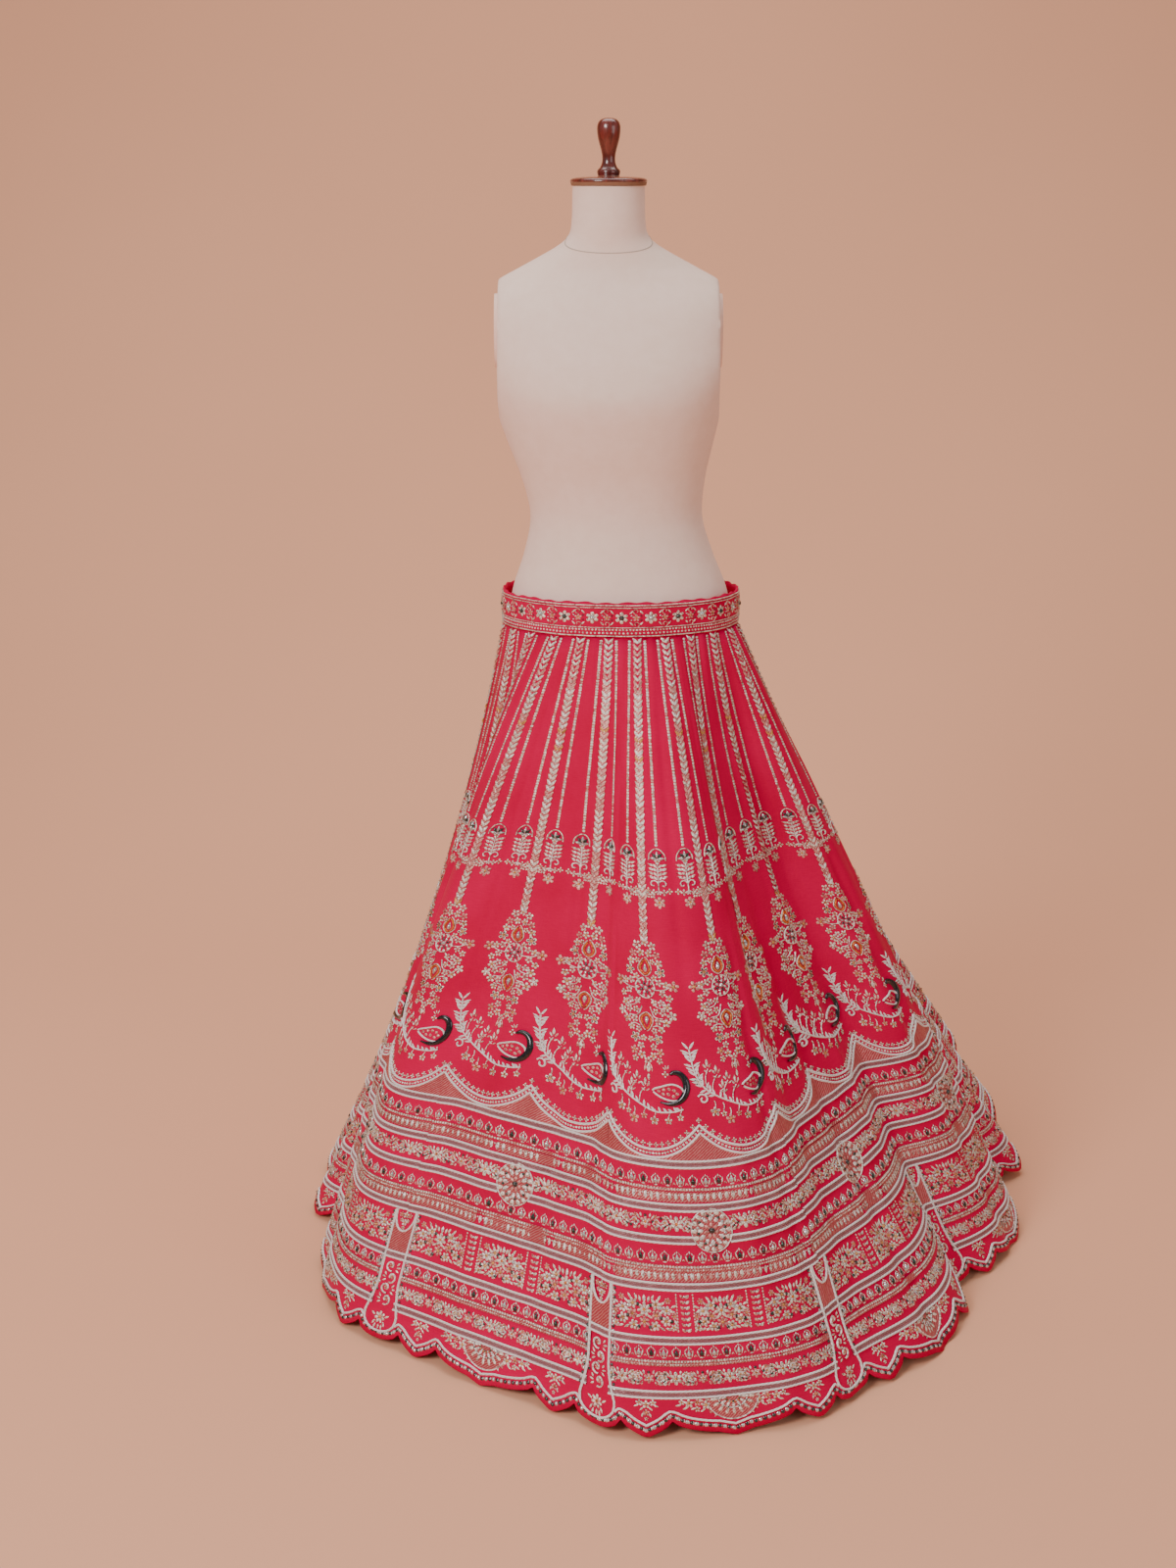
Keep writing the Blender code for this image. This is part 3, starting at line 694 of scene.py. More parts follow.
def spiral(x, y, start, end, turnFrom, turnTo, count=14):
    t = np.linspace(0, 1, count)
    r, a = start + (end - start) * t, np.radians(turnFrom + (turnTo - turnFrom) * t)
    return np.stack((x + r * np.sin(a), y - r * np.cos(a)), axis=1)


def spaced(start, end, v, pitch):
    # places along a row, as near to pitch apart as fits
    count = max(1, round((end - start) * widthAt(v) / pitch))
    return start + (np.arange(count) + 0.5) * (end - start) / count


def choice(count, names, shares):
    return np.array([dyes[names[i]] for i in rng.choice(len(names), count, p=shares)])


def repeated(count, names):
    # the named dyes in turn
    return np.array([dyes[names[i % len(names)]] for i in range(count)])


def pairs(u, v):
    # a path of (u, v), where either may be one value for the whole path
    return np.stack(np.broadcast_arrays(u, v), axis=1)


cords, upperWork, medallionWork, gardenWork = (Work() for _ in range(4))
borderWork, hemWork, stones, grounds = (Work() for _ in range(4))

# chevron bands and bead lines that run down from the waistband
chevron = {
    "at": (0.25, 0.75), "start": 0.004, "end": 0.392, "pitch": 0.0088, "beadEnd": 0.269,
    "beadPitch": 0.0040, "beadsAt": 0.135
}
for u0 in chevron["at"]:
    v = np.arange(chevron["start"], chevron["end"], chevron["pitch"] / flatLength)
    mixed = choice(len(v), ("silver", "pale", "blush", "gold"), (0.40, 0.28, 0.26, 0.06))
    for side in (-1, 1):
        u, down = mm(u0, v, 2.8 * side, 0.0)
        upperWork.stamp("leaf", u, down, 0.0024, 0.0062, 38 * side, 0.0020, mixed, lift=0.0004)
    upperWork.stamp("bead", u0, v + 0.0030 / flatLength, 0.0012, 0.0018, 0, 0.0014, "pale", lift=0.0004)
    v = np.linspace(chevron["start"], chevron["end"], 40)
    grounds.strip(*[pairs(*mm(u0, v, 5.2 * side, 0.0)) for side in (1, -1)], "blush", 0.0004, 1)
    for side in (-1, 1):
        line = u0 + side * chevron["beadsAt"]
        v = np.arange(chevron["start"], chevron["beadEnd"], chevron["beadPitch"] / flatLength)
        mixed = choice(len(v), ("silver", "pale", "blush"), (0.5, 0.4, 0.1))
        upperWork.stamp("bead", line, v, 0.0024, 0.0021, 0, 0.0018, mixed)

# tassels at the ends of the bead lines, and the garland that joins them
tassel = {"v": 0.279, "garland": 0.331}
for u0 in (0.115, 0.385, 0.615, 0.885):
    anchor = (u0, tassel["v"])
    for turn, dye in zip((-84, -42, 0, 42, 84), ("clear", "smoke", "clear", "green", "clear")):
        a = math.radians(turn)
        place = mm(*anchor, 6.0 * math.sin(a), 6.5 - 6.5 * math.cos(a))
        stones.stamp("pear", *place, 0.0030, 0.0050, turn, 0.0026, dye, rings=2)
    fan = [(-11.5, 8.5), (-10.5, 1), (-5.5, -5.5), (0, -7.5), (5.5, -5.5), (10.5, 1), (11.5, 8.5)]
    upperWork.tube(along(anchor, fan, 3), 0.0008, 0.0014, "silver")
    upperWork.flower(*mm(*anchor, 0, 10), 0.0040, 5, "pale", "gold", 0.0020)
    upperWork.tube(along(anchor, [(0, 12), (0, 52)], 5), 0.0008, 0.0014, "pale")
    for row, y in enumerate((16, 21.5, 27, 32.5)):
        for side in (-1, 1):
            for reach, turn in ((3.6, 48), (9.0, 66 - 5 * row)):
                place = mm(*anchor, reach * side, y - (1.2 if reach > 5 else 0))
                upperWork.stamp(
                    "leaf", *place, 0.0021, 0.0036, turn * side, 0.0018, "pale" if row % 2 else "silver"
                )
            upperWork.stamp("bead", *mm(*anchor, 12.5 * side, y - 2.5), 0.0014, 0.0014, 0, 0.0016, "pink")
    for side in (-1, 1):
        upperWork.tube(
            along(anchor, spiral(6.5 * side, 41, 6.5, 1.6, -90 * side, 220 * side, 9), 1), 0.0009, 0.0015,
            "pale"
        )
        upperWork.flower(*mm(*anchor, 7 * side, 52), 0.0042, 4, "silver", "blush")
        upperWork.flower(*mm(*anchor, 14.5 * side, 50), 0.0040, 4, "silver", "gold")
    upperWork.flower(*mm(*anchor, 0, 52), 0.0036, 5, "pale", "silver")
    upperWork.flower(*mm(*anchor, 0, 66), 0.0080, 6, "blush", "orange")
    upperWork.flower(*mm(*anchor, 0, 66), 0.0040, 5, "silver", "gold", 0.0024)
for u0 in chevron["at"]:
    for x in (-15, -7.5, 7.5, 15):
        upperWork.flower(*mm(u0, tassel["garland"], x, 0), 0.0044, 5, "silver", "pink")

# medallions: rows of (x, y, radius, dye, heart) in millimetres, mirrored where x isn't 0
medallion = {"v": 0.449}
medallionFlowers = (
    (0, -62, 6, "silver", "gold"), (11, -57, 6, "silver", "pink"), (6, -47, 5.5, "silver", "gold"),
    (17, -45, 5.5, "blush", "pink"),
    (20, -34, 5.5, "silver", "gold"), (11, -36, 4, "silver", "orange"), (22, -22, 7, "green", "gold"),
    (13, -14, 4.5, "silver", "orange"),
    (20, -8, 5, "silver", "pink"), (29, -6, 5, "silver", "gold"), (39, -4, 7.5, "blush", "gold"),
    (24, 6, 5, "silver", "pink"),
    (33, 12, 5, "silver", "gold"), (12, 19, 4.5, "silver", "orange"), (22, 19, 5, "pale", "pink"),
    (30, 24, 6, "silver", "gold"),
    (36, 36, 6.5, "silver", "pale"), (24, 32, 5, "silver", "pink"), (14, 31, 4.5, "silver", "gold"),
    (28, 45, 6, "silver", "gold"),
    (17, 44, 5, "silver", "pink"), (21, 55, 5, "silver", "gold"), (11, 57, 4.5, "silver", "pink"),
    (16, 68, 7, "green", "gold"),
    (5, 68, 4.5, "silver", "gold"), (9, 79, 5, "silver", "pink"), (18, 86, 6, "blush", "gold"),
    (8, 91, 5.5, "silver", "orange"),
    (17, 97, 4.5, "silver", "gold"), (0, 98, 5.5, "silver", "pink"),
)


def greenStar(anchor, x, y, reach, wide, tall, spin=0.0):
    for p in range(5):
        a = math.radians(spin + 72 * p)
        place = mm(*anchor, x + reach * math.sin(a), y - reach * math.cos(a))
        stones.stamp("petal", *place, wide, tall, math.degrees(a), 0.0020, "green")


for u0 in chevron["at"]:
    anchor = (u0, medallion["v"])
    for x, y, radius, dye, heart in medallionFlowers:
        for side in (-1, 1) if x else (1,):
            place = mm(*anchor, x * side, y)
            spin = float(rng.uniform(0, 70))
            if dye == "green":
                medallionWork.flower(*place, radius / 1000, 5, "silver", heart, 0.0010, spin)
                greenStar(anchor, x * side, y, 4, 0.0019, 0.0023, spin)
            else:
                medallionWork.flower(*place, radius / 1000, 5, dye, heart, 0.0016, spin)
    # the big round flower
    for target, count, reach, wide, tall, shape, two in (
        (medallionWork, 10, 11.5, 2.6, 3.6, "petal", ("silver", "silver")),
        (stones, 8, 7.0, 2.2, 3.0, "pear", ("clear", "smoke")),
    ):
        for p in range(count):
            a = 2 * math.pi * (p + 0.5) / count
            place = mm(*anchor, reach * math.sin(a), -reach * math.cos(a))
            target.stamp(shape, *place, wide / 1000, tall / 1000, math.degrees(a), 0.0022, two[p % 2])
    medallionWork.tube(
        along(anchor, spiral(0, 0, 13.8, 13.8, 0, 350, 22), 1, closed=True), 0.0008, 0.0016, "pale"
    )
    stones.stamp("disc", *anchor, 0.0032, 0.0032, 0, 0.0032, "clear", rings=2)
    for y in (-27, 44):
        stones.stamp(
            "pear", *mm(*anchor, 0, y), 0.0038, 0.0060, 0 if y < 0 else 180, 0.0030, "clear", rings=2
        )
        flip = -1 if y < 0 else 1
        half = ((0, 11), (6, 3), (6.3, -3.5), (0, -8.5), (-6.3, -3.5), (-6, 3))
        outline = [(x, y + reach * flip) for x, reach in half]
        medallionWork.tube(along(anchor, outline, 4, closed=True), 0.0011, 0.0018, "orange")
        outer = [(x * 1.42, y + (b - y) * 1.3) for x, b in outline]
        medallionWork.tube(along(anchor, outer, 4, closed=True), 0.0008, 0.0014, "silver")
    # curling stems between the flowers
    for side in (-1, 1):
        for stem in (
            ((8, 14), (15, 24), (25, 27)), ((6, 25), (12, 38), (24, 40)), ((9, 52), (17, 50), (26, 56)),
            ((14, 2), (26, 1), (34, -3))
        ):
            medallionWork.tube(along(anchor, stem, 4, flip=side), 0.0008, 0.0013, "pale")
    for y, wide, tall in ((108, 3.6, 6), (119, 2.4, 5), (128, 1.3, 3.5), (-71, 2.4, 4)):
        medallionWork.stamp("leaf", *mm(*anchor, 0, y), wide / 1000, tall / 1000, 0, 0.0018, "silver")
    for side in (-1, 1):
        medallionWork.stamp(
            "leaf", *mm(*anchor, 4.5 * side, 107), 0.0018, 0.0055, -12 * side, 0.0015, "blush"
        )

# scallops over the border, a peacock vine in each
scallop = {"cusp": 0.617, "depth": 0.032, "band": 0.661}


def scallopEdge(u, offset=0.0):
    s = (u * 2) % 1
    rise = 1 - np.abs(2 * s - 1) ** 2.1
    return scallop["cusp"] + scallop["depth"] * rise + offset


scallopU = np.linspace(0, 1, 97)
for offset, half in ((0.0, 0.0017), (0.0105, 0.0017)):
    cords.tube(pairs(scallopU, scallopEdge(scallopU, offset / flatLength)), half, 0.0022)
u = spaced(0, 1, 0.63, 0.0042)
mixed = choice(len(u), ("pale", "silver"), (0.6, 0.4))
gardenWork.stamp("bead", u, scallopEdge(u, 0.0053 / flatLength), 0.0019, 0.0019, 0, 0.0018, mixed)
u = spaced(0, 1, 0.63, 0.0085)
alternate = repeated(len(u), ("blush", "silver"))
gardenWork.flower(u, scallopEdge(u, -0.0062 / flatLength), 0.0036, 4, "silver", "orange", 0.0018)
stones.stamp("bead", u, scallopEdge(u, -0.0062 / flatLength), 0.0013, 0.0013, 0, 0.0030, alternate)
for u0 in chevron["at"]:
    anchor = (u0, scallop["cusp"])
    vine = [
        (-61, -101), (-60.5, -84), (-58, -66), (-51, -51), (-37, -38), (-15, -25), (7, -16), (32, -17),
        (46, -21)
    ]
    cords.tube(along(anchor, vine, 6), 0.0011, 0.0020)
    path = curve(vine, 6)
    heading = np.degrees(np.arctan2(np.gradient(path[:, 0]), -np.gradient(path[:, 1])))
    for i in range(0, len(path) - 1, 2):
        size = 8.5 - 4.5 * i / len(path)
        for side in (-1, 1) if i < 26 else (-1,):
            # each leaf leaves the stem backwards, up the vine
            turn = heading[i] + 180 - (38 + 14 * (i % 3)) * side
            a = math.radians(turn)
            place = mm(*anchor, path[i, 0] + math.sin(a) * size * 0.8, path[i, 1] - math.cos(a) * size * 0.8)
            cords.stamp("leaf", *place, 0.0019, size / 1250, turn, 0.0019, "white")
    # the curl where the vine turns
    cords.tube(along(anchor, spiral(-54, -34, 7.5, 2.0, -60, 330, 14), 1), 0.0012, 0.0020)
    # body, outlined in cord and filled with beads
    body = [(5, -44), (18, -50), (33, -54), (45, -49), (47, -39), (36, -32), (19, -35)]
    cords.tube(along(anchor, body, 5, closed=True), 0.0013, 0.0022)
    for x, y in (
        (14, -44), (21, -46.5), (28, -47.5), (35, -46), (39, -41.5), (34, -38), (27, -40.5), (20, -40.5)
    ):
        gardenWork.stamp("disc", *mm(*anchor, x, y), 0.0026, 0.0022, 20, 0.0016, "blush")
    # neck and head in dark metal thread
    neck = curve(
        [
            (30, -67), (35, -70), (43, -68.5), (49.5, -61), (51.5, -50), (48, -39), (40, -31), (28, -27.5),
            (16, -29)
        ],
        5
    )
    share = np.linspace(0, 1, len(neck))
    half = 0.0014 + 0.0034 * np.sin(math.pi * np.clip(share * 1.04, 0, 1)) ** 0.7
    stones.tube(pairs(*mm(*anchor, neck[:, 0], neck[:, 1])), half, 0.0030, "night")
    gardenWork.flower(*mm(*anchor, 24, -67), 0.0045, 4, "pale", "gold", 0.0020)
    for turn in (-50, -20, 10):
        a = math.radians(turn)
        gardenWork.stamp(
            "leaf", *mm(*anchor, 27 + 6 * math.sin(a), -71 - 6 * math.cos(a)), 0.0010, 0.0032, turn, 0.0014,
            "silver"
        )
    # buds over the vine
    for x, y, fx, fy in (
        (-41, -79, -47, -46), (-30, -70, -40, -40), (-16, -60, -26, -31), (-5, -52, -14, -25),
        (-24, -50, -30, -34)
    ):
        gardenWork.tube(
            along(anchor, [(fx, fy), ((x + fx) / 2 - 2, (y + fy) / 2), (x, y + 5)], 3), 0.0006, 0.0012, "pale"
        )
        gardenWork.stamp("leaf", *mm(*anchor, x, y - 3), 0.0022, 0.0055, 0, 0.0018, "silver")
        for side in (-1, 1):
            gardenWork.stamp(
                "leaf", *mm(*anchor, x + 3.6 * side, y + 1), 0.0016, 0.0036, 32 * side, 0.0016,
                "blush" if side > 0 else "pale"
            )
            gardenWork.stamp(
                "leaf", *mm(*anchor, x + 3.2 * side, y + 8), 0.0013, 0.0030, 55 * side, 0.0014, "silver"
            )
    # small flowers under it
    for x, y, radius, dye in (
        (-41, -16, 6.5, "green"), (-22, -4, 7.0, "blush"), (6, -4, 6.0, "green"), (26, -5, 5.0, "silver"),
        (-56, -58, 5.0, "green"), (-8, -9, 4.5, "blush"), (42, -10, 4.5, "silver"), (-30, -12, 4, "silver"),
    ):
        thread = "silver" if dye == "green" else dye
        gardenWork.flower(*mm(*anchor, x, y), radius / 1000, 5, thread, "gold", 0.0014)
        if dye == "green":
            greenStar(anchor, x, y, 3.6, 0.0016, 0.0020)
        gardenWork.tube(
            along(anchor, [(x, y - 5), (x + 2, y - 10), (x + 1, y - 15)], 2), 0.0006, 0.0012, "pale"
        )

# dense ground between the scallops and the first line band
u = np.linspace(0, 1, 49)
grounds.strip(pairs(u, scallopEdge(u, 0.0118 / flatLength)), pairs(u, scallop["band"]), "rose", 0.0007, 3)

# line bands: white cord, zari, white cord
lineBands = (
    (0.6655, 0, 1), (0.7190, 0, 1), (0.7590, 0, 1), (0.8170, 0, 1), (0.8830, -0.046, 0.954),
    (0.9490, 0.052, 0.948)
)
for v0, start, end in lineBands:
    gaps = [(start, 0.425), (0.575, end)] if v0 == 0.7590 else [(start, end)]
    for a, b in gaps:
        u = np.linspace(a, b, int(46 * (b - a)) + 2)
        for y in (-4.3, 4.3):
            cords.tube(pairs(u, v0 + y / 1000 / flatLength), 0.0016, 0.0021)
        for y in (-1.3, 1.3):
            grounds.tube(pairs(u, v0 + y / 1000 / flatLength), 0.0014, 0.0012, "lilac")


def groundBetween(start, end, upper, lower, high):
    u = np.linspace(start, end, 13)
    grounds.strip(pairs(u, upper), pairs(u, lower), "rose", high, 1)


def beadRow(v0, start, end, pitch=0.0040, size=0.0018, names=("pale", "silver")):
    u = spaced(start, end, v0, pitch)
    borderWork.stamp("bead", u, v0, size, size, 0, 0.0018, choice(len(u), names, (0.6, 0.4)), lift=0.0006)
    groundBetween(start, end, v0 - 0.0024 / flatLength, v0 + 0.0024 / flatLength, 0.0006)


def botehRow(v0, start, end, pitch=0.0165):
    # a row of buds, each a cut stone in a thread outline with a leaf at either side
    u = spaced(start, end, v0, pitch)
    stone = repeated(len(u), ("clear", "smoke", "clear", "green"))
    stones.stamp("pear", u, v0, 0.0034, 0.0050, 0, 0.0026, stone, rings=2)
    for x, y, wide, tall, turn, dye in (
        (-4.6, 1.0, 1.3, 5.2, -14, "silver"), (4.6, 1.0, 1.3, 5.2, 14, "silver"),
        (0, -6.8, 1.0, 2.2, 0, "pale"),
        (-3.2, -4.6, 0.9, 2.8, 38, "pale"), (3.2, -4.6, 0.9, 2.8, -38, "pale"),
        (0, 6.6, 3.4, 1.2, 0, "silver"),
        (-7.6, 4.0, 1.0, 2.6, -40, "blush"), (7.6, 4.0, 1.0, 2.6, 40, "blush"),
    ):
        borderWork.stamp("leaf", *mm(u, v0, x, y), wide / 1000, tall / 1000, turn, 0.0016, dye)


def arcRow(v0, start, end, pitch=0.0082):
    # small upright loops set close together on a stitched ground
    u = spaced(start, end, v0, pitch)
    mixed = choice(len(u), ("silver", "blush", "pale"), (0.5, 0.2, 0.3))
    borderWork.stamp("petal", u, v0, 0.0032, 0.0056, 0, 0.0016, mixed, lift=0.0005)
    stones.stamp("bead", u, v0 + 0.001 / flatLength, 0.0011, 0.0022, 0, 0.0026, "clear", lift=0.0005)
    borderWork.stamp("bead", *mm(u, v0, pitch * 500, -3.0), 0.0011, 0.0014, 0, 0.0014, "pale")
    groundBetween(start, end, v0 - 0.0066 / flatLength, v0 + 0.0070 / flatLength, 0.0005)


def floralRow(v0, start, end, height, pitch=0.043):
    # flowers with sprays of leaves between them
    u = spaced(start, end, v0, pitch)
    for i, at in enumerate(u):
        anchor = (at, v0)
        share, thread = (0.36, "blush") if i % 2 else (0.44, "silver")
        borderWork.flower(*mm(*anchor, 0, 0), height * share, 6, thread, "orange", 0.0018)
        borderWork.flower(*mm(*anchor, 0, 0), height * 0.2, 5, "pale", "gold", 0.0028)
        for side in (-1, 1):
            stem = [(9 * side, 3), (15 * side, -4), (21 * side, 1)]
            borderWork.tube(along(anchor, stem, 4), 0.0007, 0.0013, "pale")
            for x, y, turn, size, dye in (
                (10, -7, 35, 4.2, "silver"), (13, 6, 140, 4.0, "silver"), (17, -8, 60, 3.6, "blush"),
                (18, 3.5, 110, 3.2, "pale"), (9, 8.5, 160, 3.0, "blush"), (6.5, -10, 12, 3.0, "pale"),
                (15, 10, 100, 2.6, "silver"),
            ):
                place = mm(*anchor, x * side, y * height / 0.024)
                borderWork.stamp("leaf", *place, 0.0017, size / 1000, turn * side, 0.0016, dye)
        for x, y, radius in ((15, -1, 4.6), (14, 8, 3.2), (13.5, -8.5, 3.2)):
            for side in (-1, 1):
                place = mm(*anchor, x * side, y * height / 0.024)
                borderWork.flower(*place, radius / 1000, 5, thread, "gold", 0.0018, 30 * side)
        for x, y in ((21.5, 7), (21.5, -7), (-10, 1), (10, -1), (0, -9.5), (-15, 5), (16, 5)):
            dye = "green" if (i + (y > 0)) % 2 else "clear"
            stones.stamp("disc", *mm(*anchor, x, y * height / 0.024), 0.0020, 0.0020, 0, 0.0026, dye)


botehRow(0.6855, 0, 1)
beadRow(0.6960, 0, 1)
arcRow(0.7055, 0, 1)
floralRow(0.7390, 0.0, 0.42, 0.022)
floralRow(0.7390, 0.58, 1.0, 0.022)
botehRow(0.7800, 0, 1)
beadRow(0.7920, 0, 1)
beadRow(0.7958, 0, 1, 0.0034, 0.0015, ("silver", "blush"))
arcRow(0.8040, 0, 1)
botehRow(0.8975, 0.05, 0.95)
beadRow(0.9085, 0.05, 0.95)
beadRow(0.9122, 0.05, 0.95, 0.0034, 0.0015, ("silver", "blush"))
floralRow(0.9290, 0.055, 0.945, 0.019, 0.036)

# the roundel in the middle of the second floral band
roundel = {"at": (0.5, 0.747), "reach": 25.5, "tall": 1.12, "lift": 0.0010}
anchor, lift = roundel["at"], roundel["lift"]
halfTurn = np.linspace(0, math.pi, 17)
sides = [pairs(*mm(*anchor, side * roundel["reach"] * np.sin(halfTurn),
                   -roundel["reach"] * roundel["tall"] * np.cos(halfTurn))) for side in (1, -1)]
grounds.strip(*sides, "rose", 0.0009, 4)
for count, reach, wide, tall, dye in (
    (16, 22.0, 4.3, 4.2, "silver"), (12, 14.0, 3.6, 4.4, "pale"), (7, 6.5, 2.8, 3.6, "blush")
):
    for p in range(count):
        a = 2 * math.pi * p / count
        place = mm(*anchor, reach * math.sin(a), -reach * math.cos(a) * roundel["tall"])
        borderWork.stamp("petal", *place, wide / 1000, tall / 1000, math.degrees(a), 0.0022, dye, lift=lift)
        if dye == "silver":
            place = mm(*anchor, 18 * math.sin(a + 0.2), -18 * math.cos(a + 0.2) * roundel["tall"])
            stones.stamp("bead", *place, 0.0023, 0.0023, 0, 0.0030, "green" if p % 2 else "clear", lift=lift)
stones.stamp("disc", *anchor, 0.0042, 0.0042, 0, 0.0034, "smoke", rings=2, lift=lift)
rim = [(26.5 * math.sin(a), -29.5 * math.cos(a)) for a in np.linspace(0, 2 * math.pi, 25)[:-1]]
borderWork.tube(along(anchor, rim, 1, closed=True), 0.0009, 0.0018, "pale")

# boxes with a bouquet in each, and the bead columns between them
boxes = {
    "top": 0.8262, "bottom": 0.8738, "sides": ((0.062, 0.325), (0.392, 0.608), (0.675, 0.938)),
    "dividers": (0.358, 0.642)
}
# x is a share of the box's half width
boxFlowers = (
    (0.36, -11, 7.2, "silver"), (0.37, 3, 7.0, "blush"), (0.33, 17, 6.6, "silver"), (0.68, -4, 6.8, "pale"),
    (0.67, 10, 7.0, "silver"), (0.72, -17, 4.6, "blush"), (0.90, 18, 4.8, "silver"), (0.92, 3, 4.6, "blush"),
)
boxLeaves = (
    (0.14, -18, 14), (0.26, -20, 24), (0.46, -20, 34), (0.56, -13, 50), (0.90, -10, 62), (0.18, 20, 150),
    (0.55, 20, 120), (0.86, -3, 96), (0.17, 5, 120), (0.52, -1, 80), (0.74, 20, 110), (0.96, 11, 150),
)
for left, right in boxes["sides"]:
    middle, v0 = (left + right) / 2, (boxes["top"] + boxes["bottom"]) / 2
    anchor, half = (middle, v0), (right - left) / 2 * widthAt(v0) * 1000
    borderWork.flower(*mm(*anchor, 0, -4), 0.0095, 7, "silver", "orange", 0.0022)
    borderWork.flower(*mm(*anchor, 0, -4), 0.0048, 5, "pale", "gold", 0.0032)
    borderWork.flower(*mm(*anchor, 0, 12), 0.0072, 6, "blush", "gold", 0.0018)
    borderWork.stamp("leaf", *mm(*anchor, 0, -18.5), 0.0028, 0.0052, 0, 0.0018, "pale")
    for side in (-1, 1):
        borderWork.posy(anchor, [(x * half, *rest) for x, *rest in boxFlowers], 0.0018, 6, flip=side)
        borderWork.sprigs(anchor, [(x * half, *rest) for x, *rest in boxLeaves], 0.0020, 0.0044, 0.0016, side)
        for x, y, dye in (
            (0.20, -10, "green"), (0.52, 6, "smoke"), (0.50, -7, "clear"), (0.83, 10, "green"),
            (0.18, 19, "smoke")
        ):
            stones.stamp("disc", *mm(*anchor, x * half * side, y), 0.0028, 0.0028, 0, 0.0030, dye)
    for edge in (left, right):
        v = np.arange(boxes["top"], boxes["bottom"], 0.0040 / flatLength)
        borderWork.stamp("bead", edge, v, 0.0012, 0.0018, 0, 0.0015, "silver")
for at in boxes["dividers"]:
    v = np.arange(boxes["top"] + 0.002, boxes["bottom"], 0.0075 / flatLength)
    for x, dye in ((-3.6, "blush"), (3.6, "silver")):
        borderWork.stamp("leaf", *mm(at, v, x, 0), 0.0024, 0.0034, 45 if x > 0 else -45, 0.0016, dye)
    stones.stamp("bead", at, v, 0.0014, 0.0018, 0, 0.0022, "clear")

# pillars over the seams, from the fourth line band to the round tab of the hem
pillar = {"half": 0.0175, "flare": 0.0105, "top": 0.8222, "spread": 0.918}


def pillarEdge(v, side):
    wider = pillar["half"] + pillar["flare"] * np.clip((v - pillar["spread"]) / 0.045, 0, 1) ** 1.5
    return side * wider / widthAt(v)


for side in (-1, 1):
    v = np.linspace(pillar["top"], 0.968, 26)
    cords.tube(pairs(pillarEdge(v, side), v), 0.0016, 0.0022)
    v = np.arange(pillar["top"] + 0.004, 0.955, 0.0062 / flatLength)
    u = pillarEdge(v, side) + side * 0.0046 / widthAt(v)
    stones.stamp("disc", u, v, 0.0021, 0.0024, 0, 0.0026, repeated(len(v), ("smoke", "clear")))
bottom = [(-28, 0), (-26, 10), (-16, 18.5), (0, 22), (16, 18.5), (26, 10), (28, 0)]
cords.tube(along((0, 0.966), bottom, 4), 0.0016, 0.0022)
arch = [(-16, -1), (-15, 13), (-9, 25), (0, 30), (9, 25), (15, 13), (16, -1)]
archPath = along((0, pillar["top"]), arch, 4)
cords.tube(archPath, 0.0015, 0.0022)
floorPath = pairs(np.linspace(-0.046, 0.046, len(archPath)), 0.877)
grounds.strip(archPath, floorPath, "rose", 0.0007, 2)
archFlowers = (
    (0, 6, 5.0, "silver"), (-7, 6, 4.0, "blush"), (7, 6, 4.0, "blush"), (0, 17, 5.0, "pale"),
    (-5, 14, 3.0, "silver"), (5, 14, 3.0, "silver"), (0, 25, 3.0, "silver"),
)
borderWork.posy((0, pillar["top"]), archFlowers, 0.0016, lift=0.0007)
# the scroll inside the pillar
for i, y in enumerate((0, 16, 32, 48)):
    side = 1 if i % 2 else -1
    anchor = (0, 0.8935)
    hemWork.tube(
        along(anchor, spiral(2.5 * side, y + 5, 8.5, 2.2, 200 * side, -150 * side, 13), 1), 0.0013, 0.0018,
        "pale"
    )
    hemWork.flower(*mm(*anchor, 2.5 * side, y + 5), 0.0034, 5, "blush", "gold", 0.0018)
    for turn, x in ((40, 9), (80, 10.5), (120, 9)):
        hemWork.stamp(
            "leaf", *mm(*anchor, -x * side, y + (turn - 80) / 8 + 6), 0.0017, 0.0036, -turn * side, 0.0016,
            "silver"
        )
anchor = (0, 0.968)
hemWork.flower(*mm(*anchor, 0, 0), 0.0090, 7, "silver", "orange", 0.0018)
hemWork.flower(*mm(*anchor, 0, 0), 0.0045, 5, "blush", "gold", 0.0026)
tabLeaves = (
    (-9, 9, -150), (9, 9, 150), (0, 14, 180), (-12, -3, -60), (12, -3, 60), (-6, 14, -165), (6, 14, 165)
)
hemWork.sprigs(anchor, tabLeaves, 0.0020, 0.0044, 0.0016)

# scalloped hem: stones and cord that follow the cut edge
edgeU = np.linspace(0.0, 1.0, 241)


def inside(distance, spacing):
    # the hem's edge moved in by a distance, in even steps
    path = pairs(edgeU * widthAt(1.0), hemEdge(edgeU) * flatLength)
    ahead = np.gradient(path, axis=0)
    ahead /= np.linalg.norm(ahead, axis=1, keepdims=True)
    kernel = np.hanning(9)[1:-1]
    kernel /= kernel.sum()
    sideways = (np.pad(part, 3, mode="edge") for part in (ahead[:, 1], -ahead[:, 0]))
    normal = np.stack([np.convolve(part, kernel, "valid") for part in sideways], axis=1)
    moved = path + normal / np.linalg.norm(normal, axis=1, keepdims=True) * distance
    places = lengthsAlong(moved)
    even = np.linspace(0, places[-1], int(places[-1] / spacing) + 1)
    x, y = (np.interp(even, places, moved[:, a]) for a in (0, 1))
    return pairs(x / widthAt(1.0), y / flatLength)


